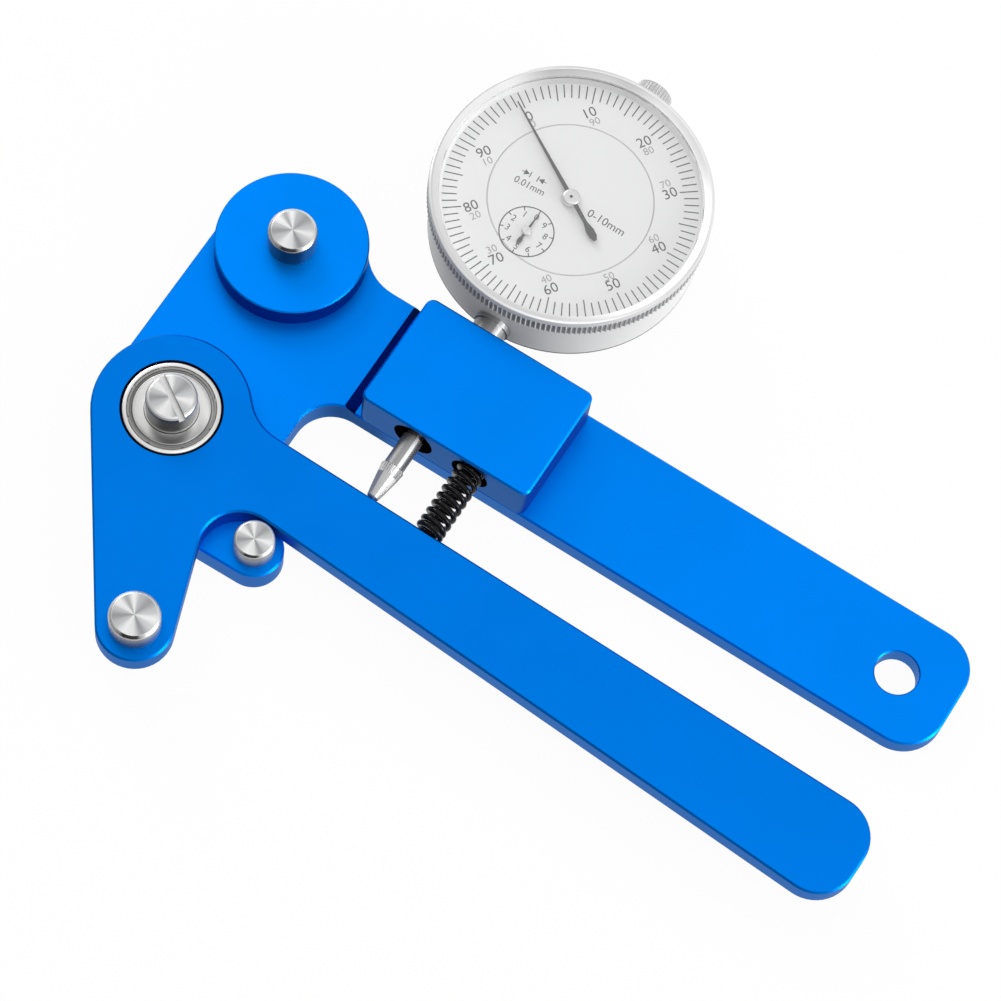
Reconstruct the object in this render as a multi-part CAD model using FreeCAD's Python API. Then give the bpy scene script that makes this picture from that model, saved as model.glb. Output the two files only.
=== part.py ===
import FreeCAD, Part
import math
import os

# Bicycle spoke tension meter with a dial indicator. Millimetres, lying on its back: +Z is up,
# +X runs along the fixed handle from head to end, +Y points towards the dial.
# The origin is the pivot axis in the plane of the base's back face.

os.makedirs("parts", exist_ok=True)

V = FreeCAD.Vector
UP = V(0, 0, 1)
ALONG_X = V(1, 0, 0)
ALONG_Y = V(0, 1, 0)

# Plates
HANDLE_T = 5.6
HEAD_T = 7.2
ARM_GAP = 0.2
ARM_T = 5.6
EDGE_CHAMFER = 0.45
ARM_Z = HEAD_T + ARM_GAP
ARM_TOP = ARM_Z + ARM_T

# Base outline: centres and signed radii of the arcs, counter-clockwise; a negative radius is a
# hollow curve
HANDLE_LOW_Y = 24.0
HANDLE_HIGH_Y = 53.35
HANDLE_END_X = 180.3
HANDLE_CORNER_R = 9.6
ARCH = (32.9, 14.95, -9.05)
ARCH_FOOT = (27.85, 2.0, -4.0)
STEP_X = 30.3
STEP_FOOT_X = 32.9
STEP_LOW_Y = 20.0
SHOULDER_R = 12.0
HEAD_LEFT_R = 12.0
LOWER_CORNER = (4.0, -15.0, 8.0)

# Spoke posts, each (x, y), and the disc under the upper one
UPPER_POST = (-0.1, 48.8)
LOWER_POST = (21.5, -46.45)
STOP_POST = (32.2, -15.75)
DISC_R = 17.5
DISC_CHAMFER = 0.3
UPPER_POST_R = 5.6
UPPER_POST_TOP = 19.4
LOWER_POST_R = 5.75
LOWER_POST_TOP = 18.6
STOP_POST_R = 4.6
POST_ROUND = 0.9
STOP_POST_ROUND = 0.7
ROUND_STEPS = 3
POST_SHANK_R = 3.0
POST_SHANK_END = 2.2
LOWER_SHANK_END = 1.0
BLIND_END_GAP = 0.2
STOP_LOBE_R = 6.7

# Moving arm outline
PIVOT_R = 17.9
LOWER_LOBE_R = 8.65
NOTCH = (31.0, -19.85, -9.1)
ARM_CORNER_LOW = (171.9, -9.3, 9.0)
ARM_CORNER_HIGH = (171.7, -4.5, 9.35)
ARM_FILLET = (23.2, 19.15, -12.15)
ARM_BORE_CHAMFER = 0.5

# Pivot: a 608-size ball bearing on a slotted shoulder stud
BEARING_R = 11.0
BEARING_BORE_R = 4.0
BEARING_W = 7.0
BEARING_Z = ARM_TOP - BEARING_W
INNER_RING_R = 6.05
OUTER_RING_IN_R = 9.3
BALL_PITCH_R = 7.6
BALL_R = 1.95
RACE_R = 2.02
BALL_COUNT = 7
BALL_SIDES = 12
CAGE_T = 0.5
CAGE_W = 5.0
SHIELD_T = 0.3
SHIELD_IN_R = 6.15
SHIELD_SINK = 0.35
PIVOT_RECESS_R = 11.6
PIVOT_RECESS_Z = 5.4
SPACER_R = 5.6
STUD_HEAD_R = 5.8
STUD_TOP = 19.35
STUD_THREAD_R = 3.0
STUD_END = 1.2
STUD_SLOT_W = 1.5
STUD_SLOT_DEPTH = 1.4
STUD_SLOT_ANGLE = -32.7

# Gauge block on the handle
BLOCK_X = (33.8, 77.2)
BLOCK_TOP = 17.1
BLOCK_CORNER_R = 2.0
STEM_X = 48.1
STEM_Z = 11.3
STEM_R = 4.0
STEM_BORE_R = 4.03
BLOCK_MOUTH_R = 4.9
BLOCK_MOUTH_DEPTH = 10.0
SPRING_X = 62.9
SPRING_HOLE_R = 4.6
SPRING_HOLE_DEPTH = 15.0
BLOCK_SCREW_X = (38.5, 72.5)
BLOCK_SCREW_Y = 38.7
BLOCK_SCREW_R = 2.0
BLOCK_SCREW_HEAD_R = 3.8
BLOCK_SCREW_END = 13.0
BLOCK_SCREW_LIP = 0.4
SOCKET_ACROSS = 2.5
SOCKET_DEPTH = 1.6
CLAMP_SCREW_Y = 46.0
CLAMP_SCREW_R = 2.0
CLAMP_SCREW_SINK = 0.6
HANG_HOLE = (165.75, 38.7)
HANG_HOLE_R = 5.0
HOLE_CHAMFER = 0.3

# Main spring between the block and the arm
SPRING_R = 3.55
SPRING_WIRE = 1.35
SPRING_TURNS = 15
SPRING_SIDES = 16
ARM_EDGE_Y = 6.53

# Dial indicator
DIAL = (STEM_X, 89.2)
CASE_R = 31.4
CASE_IN_R = 29.4
CASE_Z = 6.6
CASE_BACK_Z = 5.4
CASE_TOP = 19.3
CASE_EDGE = 0.3
BACK_EDGE = (1.2, 0.8)
NECK_R = 30.2
NECK_IN_R = 28.2
NECK_TOP = 21.0
LEDGE_R = 27.6
LEDGE_Z = 12.4
LEDGE_SLOPE = 1.5
DIAL_LEDGE_R = 27.2
DIAL_LEDGE_SLOPE = 0.8
LUG_R = 2.6
CASE_LIP = 0.5
CASE_SCREW_R = 1.0
CASE_SCREW_HEAD_R = 1.9
CASE_SCREW_IN = 2.6
CASE_SCREW_REACH = 27.0
CASE_SCREW_SLOT = 0.5
PLATE_Z = 13.5
PLATE_T = 0.6
BRIDGE_Z = 17.6
BRIDGE_T = 0.7
BRIDGE_REACH = 27.0
BRIDGE_END_R = 2.2
PILLAR_R = 1.3
DIAL_BASE_Z = 20.2
DIAL_BASE_T = 0.8
DIAL_Z = 21.3
DIAL_T = 0.5
CENTRE_HOLE_R = 1.0
SUB_HOLE_R = 0.9
INNER_DIAL_R = 18.92
DIAL_RING_IN_R = 19.02
DIAL_RING_R = 29.9
BEZEL_R = 32.4
BEZEL_Z = 19.5
BEZEL_TOP = 25.1
BEZEL_FOOT = 0.5
BEZEL_BORE_R = 30.28
BEZEL_THROAT_R = 29.35
CRYSTAL_R = 30.1
CRYSTAL_Z = 23.6
CRYSTAL_T = 0.7
CRYSTAL_LEDGE = 0.3
CRYSTAL_BEVEL = 0.25

# Clearances: between parts that run on each other, and between parts that are pressed together
RUNNING = 0.05
SNUG = 0.02

# How far a cutting form reaches past what it cuts
OVER = 1.0

# Rim of the bezel from the knurl to its crest, each (inset from its radius, drop from its top)
BEZEL_RIM = ((0.0, 0.6), (0.2, 0.1), (0.8, 0.0))

# Spindle, contact point, lifting knob
NOSE_R = 2.45
NOSE_END = 24.0
SPINDLE_R = 2.0
SPINDLE_START = 15.9
SPINDLE_END = 127.0
TIP_Y = 6.78
TIP_R = 1.5
TIP_STEPS = 4
TIP_REACH = 72.0
CONE_R = 2.4
CONE_END = 13.2
COLLAR_R = 2.8
COLLAR_Y = (13.6, 15.6)
STEM_START = 34.2
STEM_CHAMFER = 0.4
STEM_COLLAR_R = 4.35
STEM_COLLAR_W = 1.1
KNOB_R = 4.5
KNOB_Y = (124.2, 129.0)
KNOB_CHAMFER = 0.5
BUSHING_R = 3.2
BUSHING_END = 123.5
GUIDE_PIN_Y = 102.0
GUIDE_PIN_R = 0.7
GUIDE_PIN_Z = 7.9
RAIL_Y = (96.0, 117.0)
RAIL_HALF_W = 2.0
RAIL_T = 1.6
RAIL_END = 1.5

# Gear train: the rack turns a 16-tooth pinion, its 100-tooth wheel turns the pointer's pinion
SUB_OFFSET = (-4.05, -12.43)
RACK_PITCH = 0.625
RACK_TEETH = 25
RACK_WIDTH = 3.0
RACK_OVERRUN = 10.0
RACK_SPARE = 2.5
RACK_ROOT_X = 0.5
PINION_TEETH = 16
WHEEL_TEETH = 100
CENTRE_TEETH = 10
ADDENDUM = 0.9
DEDENDUM = 1.15
ROOT_SHARE = 0.27
TIP_SHARE = 0.1
PINION_FOOT = 0.6
WHEEL_Z = 14.5
WHEEL_T = 0.5
TAKE_UP_Z = 15.8
CENTRE_PINION_Z = (14.3, 16.6)
ARBOR_R = 0.5
BUSH_HOLE_R = 0.54
WHEEL_BORE_R = 0.5
HAIRSPRING_Z = 16.8
HAIRSPRING_TURNS = 4
HAIRSPRING_STRIP = 0.15
HAIRSPRING_W = 0.5
HAIRSPRING_IN_R = 0.8
HAIRSPRING_SPREAD = 4.4
HAIRSPRING_SIDES = 16

# Pointers; the widths are half widths at the tip, hub, tail and end
POINTER_ANGLE = 148.8
POINTER_Z = 22.9
POINTER_T = 0.2
POINTER_LENGTH = 26.6
POINTER_TAIL = 12.0
POINTER_WIDTHS = (0.12, 0.42, 0.85, 0.25)
HUB_R = 2.15
HUB_DROP = 0.6
HUB_RISE = 0.5
SMALL_POINTER_ANGLE = 88.0
SMALL_POINTER_Z = 22.15
SMALL_POINTER_T = 0.15
SMALL_POINTER_LENGTH = 5.3
SMALL_POINTER_TAIL = 3.9
SMALL_POINTER_WIDTHS = (0.08, 0.3, 0.45, 0.15)
SMALL_HUB_R = 1.1
SMALL_HUB_H = 0.4
TAIL_NECK = 3.4
TAIL_SHOULDER = 1.6


def cylinder(start, radius, length, direction=UP):
    return Part.makeCylinder(radius, length, V(*start), direction)


def tube(start, outer, inner, length, direction=UP):
    return cylinder(start, outer, length, direction).cut(cylinder(start, inner, length, direction))


def box(low, high):
    return Part.makeBox(high[0] - low[0], high[1] - low[1], high[2] - low[2], V(*low))


def turned(profile, x, y):
    """Solid of revolution about the vertical through (x, y); profile is closed, as (radius, z)."""
    points = [V(r, 0, z) for r, z in profile]
    face = Part.Face(Part.makePolygon(points + points[:1]))
    solid = face.revolve(V(0, 0, 0), UP, 360)
    solid.translate(V(x, y, 0))
    return solid


def turned_along_y(profile, x, z):
    """Solid of revolution about a line along Y; profile is closed, as (radius, y)."""
    points = [V(r, y, 0) for r, y in profile]
    face = Part.Face(Part.makePolygon(points + points[:1]))
    solid = face.revolve(V(0, 0, 0), ALONG_Y, 360)
    solid.translate(V(x, 0, z))
    return solid


def heading(angle):
    return V(math.cos(angle), math.sin(angle), 0)


def belt(circles):
    """Face bounded by tangent lines and arcs round signed circles, taken counter-clockwise."""
    count = len(circles)
    headings = []
    for i in range(count):
        x0, y0, r0 = circles[i]
        x1, y1, r1 = circles[(i + 1) % count]
        reach = math.hypot(x1 - x0, y1 - y0)
        lean = math.asin(max(-1.0, min(1.0, (r1 - r0) / reach)))
        headings.append(math.atan2(y1 - y0, x1 - x0) - lean)

    def edge_point(circle, angle):
        x, y, radius = circle
        return V(x + radius * math.sin(angle), y - radius * math.cos(angle), 0)

    edges = []
    for i in range(count):
        circle = circles[i]
        arrive = headings[i - 1]
        leave = headings[i]
        turn = (leave - arrive) % (2 * math.pi)
        if circle[2] < 0:
            turn -= 2 * math.pi
        first = edge_point(circle, arrive)
        middle = edge_point(circle, arrive + turn / 2)
        last = edge_point(circle, leave)
        edges.append(Part.Arc(first, middle, last).toShape())
        following = edge_point(circles[(i + 1) % count], leave)
        if last.distanceToPoint(following) > 1e-3:
            edges.append(Part.makeLine(last, following))
    return Part.Face(Part.Wire(Part.__sortEdges__(edges)))


def flat_edges(solid, height):
    """Edges of a solid that lie in the horizontal plane at a height."""
    return [
        e for e in solid.Edges
        if abs(e.BoundBox.ZMin - height) < 1e-4 and abs(e.BoundBox.ZMax - height) < 1e-4
    ]


def plate(face, low, high, chamfer=EDGE_CHAMFER, both=True):
    """Extruded outline with its top edges chamfered, and the bottom ones when both is true."""
    raised = face.copy()
    raised.translate(V(0, 0, low))
    solid = raised.extrude(V(0, 0, high - low))
    edges = flat_edges(solid, high)
    if both:
        edges += flat_edges(solid, low)
    return solid.makeChamfer(chamfer, edges)


def drilled(solid, x, y, low, high, radius, chamfer=HOLE_CHAMFER):
    """Vertical through hole with both mouths chamfered."""
    profile = [
        (0, low - OVER), (radius + chamfer + OVER, low - OVER), (radius, low + chamfer),
        (radius, high - chamfer), (radius + chamfer + OVER, high + OVER), (0, high + OVER),
    ]
    return solid.cut(turned(profile, x, y))


def base_outline():
    low = HANDLE_LOW_Y + HANDLE_CORNER_R
    high = HANDLE_HIGH_Y - HANDLE_CORNER_R
    end = HANDLE_END_X - HANDLE_CORNER_R
    rise = HANDLE_HIGH_Y + SHOULDER_R
    reach = DISC_R + SHOULDER_R
    shoulder_x = UPPER_POST[0] + math.sqrt(reach ** 2 - (rise - UPPER_POST[1]) ** 2)
    left = UPPER_POST[0] - DISC_R + HEAD_LEFT_R
    return belt([
        (end, low, HANDLE_CORNER_R),
        (end, high, HANDLE_CORNER_R),
        (shoulder_x, rise, -SHOULDER_R),
        (UPPER_POST[0], UPPER_POST[1], DISC_R),
        (left, 0.0, HEAD_LEFT_R),
        LOWER_CORNER,
        (STOP_POST[0], STOP_POST[1], STOP_LOBE_R),
        ARCH_FOOT,
        ARCH,
    ])


def beyond_step():
    """What is cut off the head so that it ends in a slope down to the handle."""
    far = HANDLE_END_X + OVER
    high = HEAD_T + OVER
    slope = (STEP_FOOT_X - STEP_X) / (HEAD_T - HANDLE_T)
    corners = [
        (STEP_FOOT_X - slope * (high - HANDLE_T), high), (STEP_FOOT_X, HANDLE_T),
        (STEP_FOOT_X, -OVER), (far, -OVER), (far, high),
    ]
    points = [V(x, STEP_LOW_Y, z) for x, z in corners]
    face = Part.Face(Part.makePolygon(points + points[:1]))
    return face.extrude(V(0, HANDLE_HIGH_Y + SHOULDER_R - STEP_LOW_Y, 0))


def base_plate():
    outline = base_outline()
    handle = plate(outline, 0, HANDLE_T)
    head = plate(outline, 0, HEAD_T)
    head = head.cut(beyond_step())
    solid = handle.fuse(head).removeSplitter()
    solid = drilled(solid, HANG_HOLE[0], HANG_HOLE[1], 0, HANDLE_T, HANG_HOLE_R)
    solid = solid.cut(cylinder((0, 0, PIVOT_RECESS_Z), PIVOT_RECESS_R, HEAD_T))
    solid = solid.cut(cylinder((0, 0, STUD_END - BLIND_END_GAP), STUD_THREAD_R, HEAD_T))
    for x, y in (UPPER_POST, STOP_POST):
        solid = solid.cut(cylinder((x, y, POST_SHANK_END - BLIND_END_GAP), POST_SHANK_R, HEAD_T))
    for x in BLOCK_SCREW_X:
        solid = solid.cut(block_screw_form(x, 0.0))
    return solid


def moving_arm():
    outline = belt([
        (0.0, 0.0, PIVOT_R),
        (LOWER_POST[0], LOWER_POST[1], LOWER_LOBE_R),
        NOTCH,
        ARM_CORNER_LOW,
        ARM_CORNER_HIGH,
        ARM_FILLET,
    ])
    solid = plate(outline, ARM_Z, ARM_TOP)
    solid = drilled(solid, 0, 0, ARM_Z, ARM_TOP, BEARING_R, ARM_BORE_CHAMFER)
    x, y = LOWER_POST
    return solid.cut(cylinder((x, y, ARM_Z + LOWER_SHANK_END), POST_SHANK_R, ARM_T))


def shoulder(radius, top, rounding):
    """Rounded top edge of a post as (radius, z), from the wall up to the flat top."""
    line = []
    for k in range(ROUND_STEPS + 1):
        angle = math.pi / 2 * k / ROUND_STEPS
        across = radius - rounding * (1 - math.cos(angle))
        line.append((across, top - rounding * (1 - math.sin(angle))))
    return line


def post(place, radius, foot, top, shank_end, rounding=POST_ROUND):
    """Turned post: a head with a rounded top edge on a thinner shank."""
    profile = [
        (0, shank_end), (POST_SHANK_R, shank_end), (POST_SHANK_R, foot), (radius, foot),
    ]
    profile += shoulder(radius, top, rounding)
    return turned(profile + [(0, top)], place[0], place[1])


def raised_disc():
    profile = [
        (POST_SHANK_R, HEAD_T), (DISC_R, HEAD_T), (DISC_R, ARM_TOP - DISC_CHAMFER),
        (DISC_R - DISC_CHAMFER, ARM_TOP), (POST_SHANK_R, ARM_TOP),
    ]
    return turned(profile, UPPER_POST[0], UPPER_POST[1])


def pivot_stud():
    """Shoulder stud through the bearing, with a slotted head."""
    profile = [
        (0, STUD_END), (STUD_THREAD_R, STUD_END), (STUD_THREAD_R, PIVOT_RECESS_Z),
        (BEARING_BORE_R, PIVOT_RECESS_Z), (BEARING_BORE_R, ARM_TOP), (STUD_HEAD_R, ARM_TOP),
    ]
    profile += shoulder(STUD_HEAD_R, STUD_TOP, POST_ROUND)
    reach = STUD_HEAD_R + OVER
    slot = box(
        (-reach, -STUD_SLOT_W / 2, STUD_TOP - STUD_SLOT_DEPTH),
        (reach, STUD_SLOT_W / 2, STUD_TOP + OVER),
    )
    slot.rotate(V(0, 0, 0), UP, STUD_SLOT_ANGLE)
    return turned(profile + [(0, STUD_TOP)], 0, 0).cut(slot)


def bearing_ring(inner, outer):
    """Bearing ring with its ball groove."""
    ring = tube((0, 0, BEARING_Z), outer, inner, BEARING_W)
    race = Part.makeTorus(BALL_PITCH_R, RACE_R, V(0, 0, BEARING_Z + BEARING_W / 2), UP)
    return ring.cut(race)


def ball():
    """Small faceted ball, turned from a polygon."""
    half = BALL_SIDES // 2
    profile = [(0, -BALL_R)]
    for k in range(1, half):
        angle = math.pi * k / half
        profile.append((BALL_R * math.sin(angle), -BALL_R * math.cos(angle)))
    profile.append((0, BALL_R))
    return turned(profile, 0, 0)


def ring_of(shape, count, radius, height):
    copies = []
    for k in range(count):
        copy = shape.copy()
        copy.translate(V(radius, 0, height))
        copy.rotate(V(0, 0, 0), UP, 360.0 * k / count)
        copies.append(copy)
    return copies


def bearing_cage():
    middle = BEARING_Z + BEARING_W / 2
    low = (0, 0, middle - CAGE_W / 2)
    band = tube(low, BALL_PITCH_R + CAGE_T / 2, BALL_PITCH_R - CAGE_T / 2, CAGE_W)
    pocket = cylinder((-BALL_R, 0, 0), BALL_R + RUNNING, 2 * BALL_R, ALONG_X)
    for hole in ring_of(pocket, BALL_COUNT, BALL_PITCH_R, middle):
        band = band.cut(hole)
    return band


def bearing_shields():
    low = tube((0, 0, BEARING_Z + SHIELD_SINK), OUTER_RING_IN_R, SHIELD_IN_R, SHIELD_T)
    top = ARM_TOP - SHIELD_SINK - SHIELD_T
    return [low, tube((0, 0, top), OUTER_RING_IN_R, SHIELD_IN_R, SHIELD_T)]


def gauge_block():
    x0, x1 = BLOCK_X
    r = BLOCK_CORNER_R
    y0, y1 = HANDLE_LOW_Y, HANDLE_HIGH_Y
    corners = ((x0 + r, y0 + r), (x1 - r, y0 + r), (x1 - r, y1 - r), (x0 + r, y1 - r))
    outline = belt([(x, y, r) for x, y in corners])
    solid = plate(outline, HANDLE_T, BLOCK_TOP, both=False)
    for x, radius, depth in (
        (STEM_X, STEM_BORE_R, y1 - y0 + OVER),
        (STEM_X, BLOCK_MOUTH_R, BLOCK_MOUTH_DEPTH),
        (SPRING_X, SPRING_HOLE_R, SPRING_HOLE_DEPTH),
    ):
        solid = solid.cut(cylinder((x, y0 - OVER, STEM_Z), radius, depth + OVER, ALONG_Y))
    solid = solid.cut(clamp_screw(OVER))
    for x in BLOCK_SCREW_X:
        solid = solid.cut(block_screw_form(x, BLIND_END_GAP))
    return solid


def block_screw_form(x, extra):
    """Countersunk screw from the back; extra deepens the form when it cuts its own hole."""
    sink = BLOCK_SCREW_HEAD_R - BLOCK_SCREW_R
    profile = [
        (0, 0), (BLOCK_SCREW_HEAD_R, 0), (BLOCK_SCREW_HEAD_R, BLOCK_SCREW_LIP),
        (BLOCK_SCREW_R, BLOCK_SCREW_LIP + sink),
        (BLOCK_SCREW_R, BLOCK_SCREW_END + extra), (0, BLOCK_SCREW_END + extra),
    ]
    return turned(profile, x, BLOCK_SCREW_Y)


def block_screw(x):
    """Screw with a hexagon socket in its head."""
    reach = SOCKET_ACROSS / 2 / math.cos(math.pi / 6)
    corners = []
    for k in range(7):
        angle = math.pi * k / 3
        corners.append(V(x + reach * math.cos(angle), BLOCK_SCREW_Y + reach * math.sin(angle), 0))
    socket = Part.Face(Part.makePolygon(corners)).extrude(V(0, 0, SOCKET_DEPTH))
    return block_screw_form(x, 0.0).cut(socket)


def clamp_screw(extra=0.0):
    """Grub screw through the end of the block onto the stem."""
    start = (BLOCK_X[0] + CLAMP_SCREW_SINK - extra, CLAMP_SCREW_Y, STEM_Z)
    length = STEM_X - STEM_R - start[0] - SNUG + extra
    return cylinder(start, CLAMP_SCREW_R, length, ALONG_X)


def coil(start, direction_y, radius, wire, turns, length, sides):
    """Square-wire helix along Y as a closed chain of flat facets."""
    half = wire / 2
    rings = []
    for k in range(turns * sides + 1):
        angle = 2 * math.pi * k / sides
        rise = half + (length - wire) * k / (turns * sides)
        ring = []
        for dr, dy in ((-half, 0), (0, half), (half, 0), (0, -half)):
            reach = radius - half + dr
            ring.append(V(
                start[0] + reach * math.cos(angle),
                start[1] + direction_y * (rise + dy),
                start[2] + reach * math.sin(angle),
            ))
        rings.append(ring)
    faces = []
    for a, b in zip(rings, rings[1:]):
        for j in range(4):
            k = (j + 1) % 4
            faces.append(Part.Face(Part.makePolygon([a[j], a[k], b[k], a[j]])))
            faces.append(Part.Face(Part.makePolygon([a[j], b[k], b[j], a[j]])))
    for ring in (rings[0], rings[-1]):
        faces.append(Part.Face(Part.makePolygon([ring[0], ring[1], ring[2], ring[0]])))
        faces.append(Part.Face(Part.makePolygon([ring[0], ring[2], ring[3], ring[0]])))
    solid = Part.makeSolid(Part.makeShell(faces))
    if solid.Volume < 0:
        solid.reverse()
    return solid


def main_spring():
    low = ARM_EDGE_Y + RUNNING
    length = HANDLE_LOW_Y + SPRING_HOLE_DEPTH - RUNNING - low
    start = (SPRING_X, low, STEM_Z)
    return coil(start, 1, SPRING_R, SPRING_WIRE, SPRING_TURNS, length, SPRING_SIDES)


def gauge_case():
    profile = [
        (CASE_IN_R, CASE_Z), (CASE_R - CASE_EDGE, CASE_Z), (CASE_R, CASE_Z + CASE_EDGE),
        (CASE_R, CASE_TOP), (NECK_R, CASE_TOP), (NECK_R, NECK_TOP), (NECK_IN_R, NECK_TOP),
        (NECK_IN_R, DIAL_BASE_Z),
        (DIAL_LEDGE_R, DIAL_BASE_Z), (DIAL_LEDGE_R, CASE_TOP),
        (CASE_IN_R, CASE_TOP - DIAL_LEDGE_SLOPE),
        (CASE_IN_R, PLATE_Z), (LEDGE_R, PLATE_Z), (LEDGE_R, LEDGE_Z),
        (CASE_IN_R, LEDGE_Z - LEDGE_SLOPE),
    ]
    solid = turned(profile, DIAL[0], DIAL[1])
    for x, y in case_screw_places():
        solid = solid.fuse(cylinder((x, y, CASE_Z + CASE_LIP), LUG_R, LEDGE_Z - CASE_Z - CASE_LIP))
    for x, y in case_screw_places():
        solid = solid.cut(cylinder((x, y, CASE_Z), CASE_SCREW_R, CASE_SCREW_IN))
    through = CASE_R - LEDGE_R + 2 * OVER
    low = DIAL[1] - CASE_R - OVER
    high = DIAL[1] + LEDGE_R - OVER
    solid = solid.cut(cylinder((STEM_X, low, STEM_Z), STEM_R, through, ALONG_Y))
    return solid.cut(cylinder((STEM_X, high, STEM_Z), BUSHING_R, through, ALONG_Y)).removeSplitter()


def case_back():
    inset, rise = BACK_EDGE
    profile = [
        (0, CASE_BACK_Z), (CASE_R - inset, CASE_BACK_Z), (CASE_R - CASE_EDGE, CASE_BACK_Z + rise),
        (CASE_R - CASE_EDGE, CASE_Z), (CASE_IN_R - RUNNING, CASE_Z),
        (CASE_IN_R - RUNNING, CASE_Z + CASE_LIP), (0, CASE_Z + CASE_LIP),
    ]
    solid = turned(profile, DIAL[0], DIAL[1])
    for x, y in case_screw_places():
        solid = solid.cut(case_screw_form(x, y))
    return solid


def case_screw_places():
    places = []
    for k in range(4):
        angle = math.radians(45 + 90 * k)
        across = CASE_SCREW_REACH * math.cos(angle)
        along = CASE_SCREW_REACH * math.sin(angle)
        places.append((DIAL[0] + across, DIAL[1] + along))
    return places


def case_screw_form(x, y):
    profile = [
        (0, CASE_BACK_Z), (CASE_SCREW_HEAD_R, CASE_BACK_Z),
        (CASE_SCREW_R, CASE_BACK_Z + CASE_SCREW_HEAD_R - CASE_SCREW_R),
        (CASE_SCREW_R, CASE_Z + CASE_SCREW_IN), (0, CASE_Z + CASE_SCREW_IN),
    ]
    return turned(profile, x, y)


def case_screws():
    screws = []
    half = CASE_SCREW_SLOT / 2
    reach = CASE_SCREW_HEAD_R + OVER
    for x, y in case_screw_places():
        slot = box(
            (x - reach, y - half, CASE_BACK_Z - OVER),
            (x + reach, y + half, CASE_BACK_Z + CASE_SCREW_SLOT),
        )
        screws.append(case_screw_form(x, y).cut(slot))
    return screws


def gauge_stem():
    low = DIAL[1] - CASE_IN_R
    bore = SPINDLE_R + RUNNING
    profile = [
        (bore, STEM_START), (STEM_R - STEM_CHAMFER, STEM_START), (STEM_R, STEM_START + STEM_CHAMFER),
        (STEM_R, low), (bore, low),
    ]
    start = DIAL[1] - CASE_R - SNUG - STEM_COLLAR_W
    stem = turned_along_y(profile, STEM_X, STEM_Z)
    collar = tube((STEM_X, start, STEM_Z), STEM_COLLAR_R, bore, STEM_COLLAR_W, ALONG_Y)
    return stem.fuse(collar).removeSplitter()


def upper_bushing():
    start = (STEM_X, DIAL[1] + CASE_IN_R, STEM_Z)
    return tube(start, BUSHING_R, SPINDLE_R + RUNNING, BUSHING_END - start[1], ALONG_Y)


def hole_at(solid, x, y, radius):
    return solid.cut(cylinder((x, y, 0), radius, BEZEL_TOP))


def gear_axes():
    sub = (DIAL[0] + SUB_OFFSET[0], DIAL[1] + SUB_OFFSET[1])
    take_up = (DIAL[0] - SUB_OFFSET[0], DIAL[1] - SUB_OFFSET[1])
    return sub, take_up


def wheel_module():
    return 2 * math.hypot(*SUB_OFFSET) / (WHEEL_TEETH + CENTRE_TEETH)


def mesh_angle():
    """Direction from the sub-dial axis to the dial centre, in degrees."""
    return math.degrees(math.atan2(-SUB_OFFSET[1], -SUB_OFFSET[0]))


def movement_plate():
    solid = tube((DIAL[0], DIAL[1], PLATE_Z), CASE_IN_R - RUNNING, BUSH_HOLE_R, PLATE_T)
    for x, y in gear_axes():
        solid = hole_at(solid, x, y, BUSH_HOLE_R)
    return solid


def movement_bridge():
    """Upper bearing strip over the three arbors, on two pillars."""
    sub, take_up = gear_axes()
    ends = []
    for x, y in (sub, take_up):
        stretch = BRIDGE_REACH / math.hypot(*SUB_OFFSET)
        across = DIAL[0] + (x - DIAL[0]) * stretch
        ends.append((across, DIAL[1] + (y - DIAL[1]) * stretch, BRIDGE_END_R))
    face = belt([ends[0], ends[1]])
    face.translate(V(0, 0, BRIDGE_Z))
    solid = face.extrude(V(0, 0, BRIDGE_T))
    for x, y in (sub, take_up, DIAL):
        solid = hole_at(solid, x, y, BUSH_HOLE_R)
    for x, y, _ in ends:
        pillar = cylinder((x, y, PLATE_Z + PLATE_T), PILLAR_R, BRIDGE_Z - PLATE_Z - PLATE_T)
        solid = solid.fuse(pillar)
    return solid.removeSplitter()


def dial_base():
    solid = tube((DIAL[0], DIAL[1], DIAL_BASE_Z), NECK_IN_R - SNUG, CENTRE_HOLE_R, DIAL_BASE_T)
    return hole_at(solid, *gear_axes()[0], SUB_HOLE_R)


def inner_dial():
    low = DIAL_BASE_Z + DIAL_BASE_T
    solid = tube((DIAL[0], DIAL[1], low), INNER_DIAL_R, CENTRE_HOLE_R, DIAL_Z + DIAL_T - low)
    return hole_at(solid, *gear_axes()[0], SUB_HOLE_R)


def dial_ring():
    return tube((DIAL[0], DIAL[1], DIAL_Z), DIAL_RING_R, DIAL_RING_IN_R, DIAL_T)


def bezel():
    seat = DIAL_Z + DIAL_T
    glass_top = CRYSTAL_Z + CRYSTAL_T
    profile = [
        (BEZEL_BORE_R, BEZEL_Z), (BEZEL_R - BEZEL_FOOT, BEZEL_Z), (BEZEL_R, BEZEL_Z + BEZEL_FOOT),
    ]
    profile += [(BEZEL_R - inset, BEZEL_TOP - drop) for inset, drop in BEZEL_RIM]
    profile += [
        (CRYSTAL_R + CRYSTAL_BEVEL, glass_top + RUNNING), (CRYSTAL_R, glass_top),
        (CRYSTAL_R, CRYSTAL_Z), (CRYSTAL_R - CRYSTAL_LEDGE, CRYSTAL_Z),
        (BEZEL_THROAT_R, seat), (DIAL_RING_R, seat),
        (DIAL_RING_R, DIAL_Z), (BEZEL_BORE_R, DIAL_Z),
    ]
    return turned(profile, DIAL[0], DIAL[1])


def crystal():
    return cylinder((DIAL[0], DIAL[1], CRYSTAL_Z), CRYSTAL_R, CRYSTAL_T)


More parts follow.
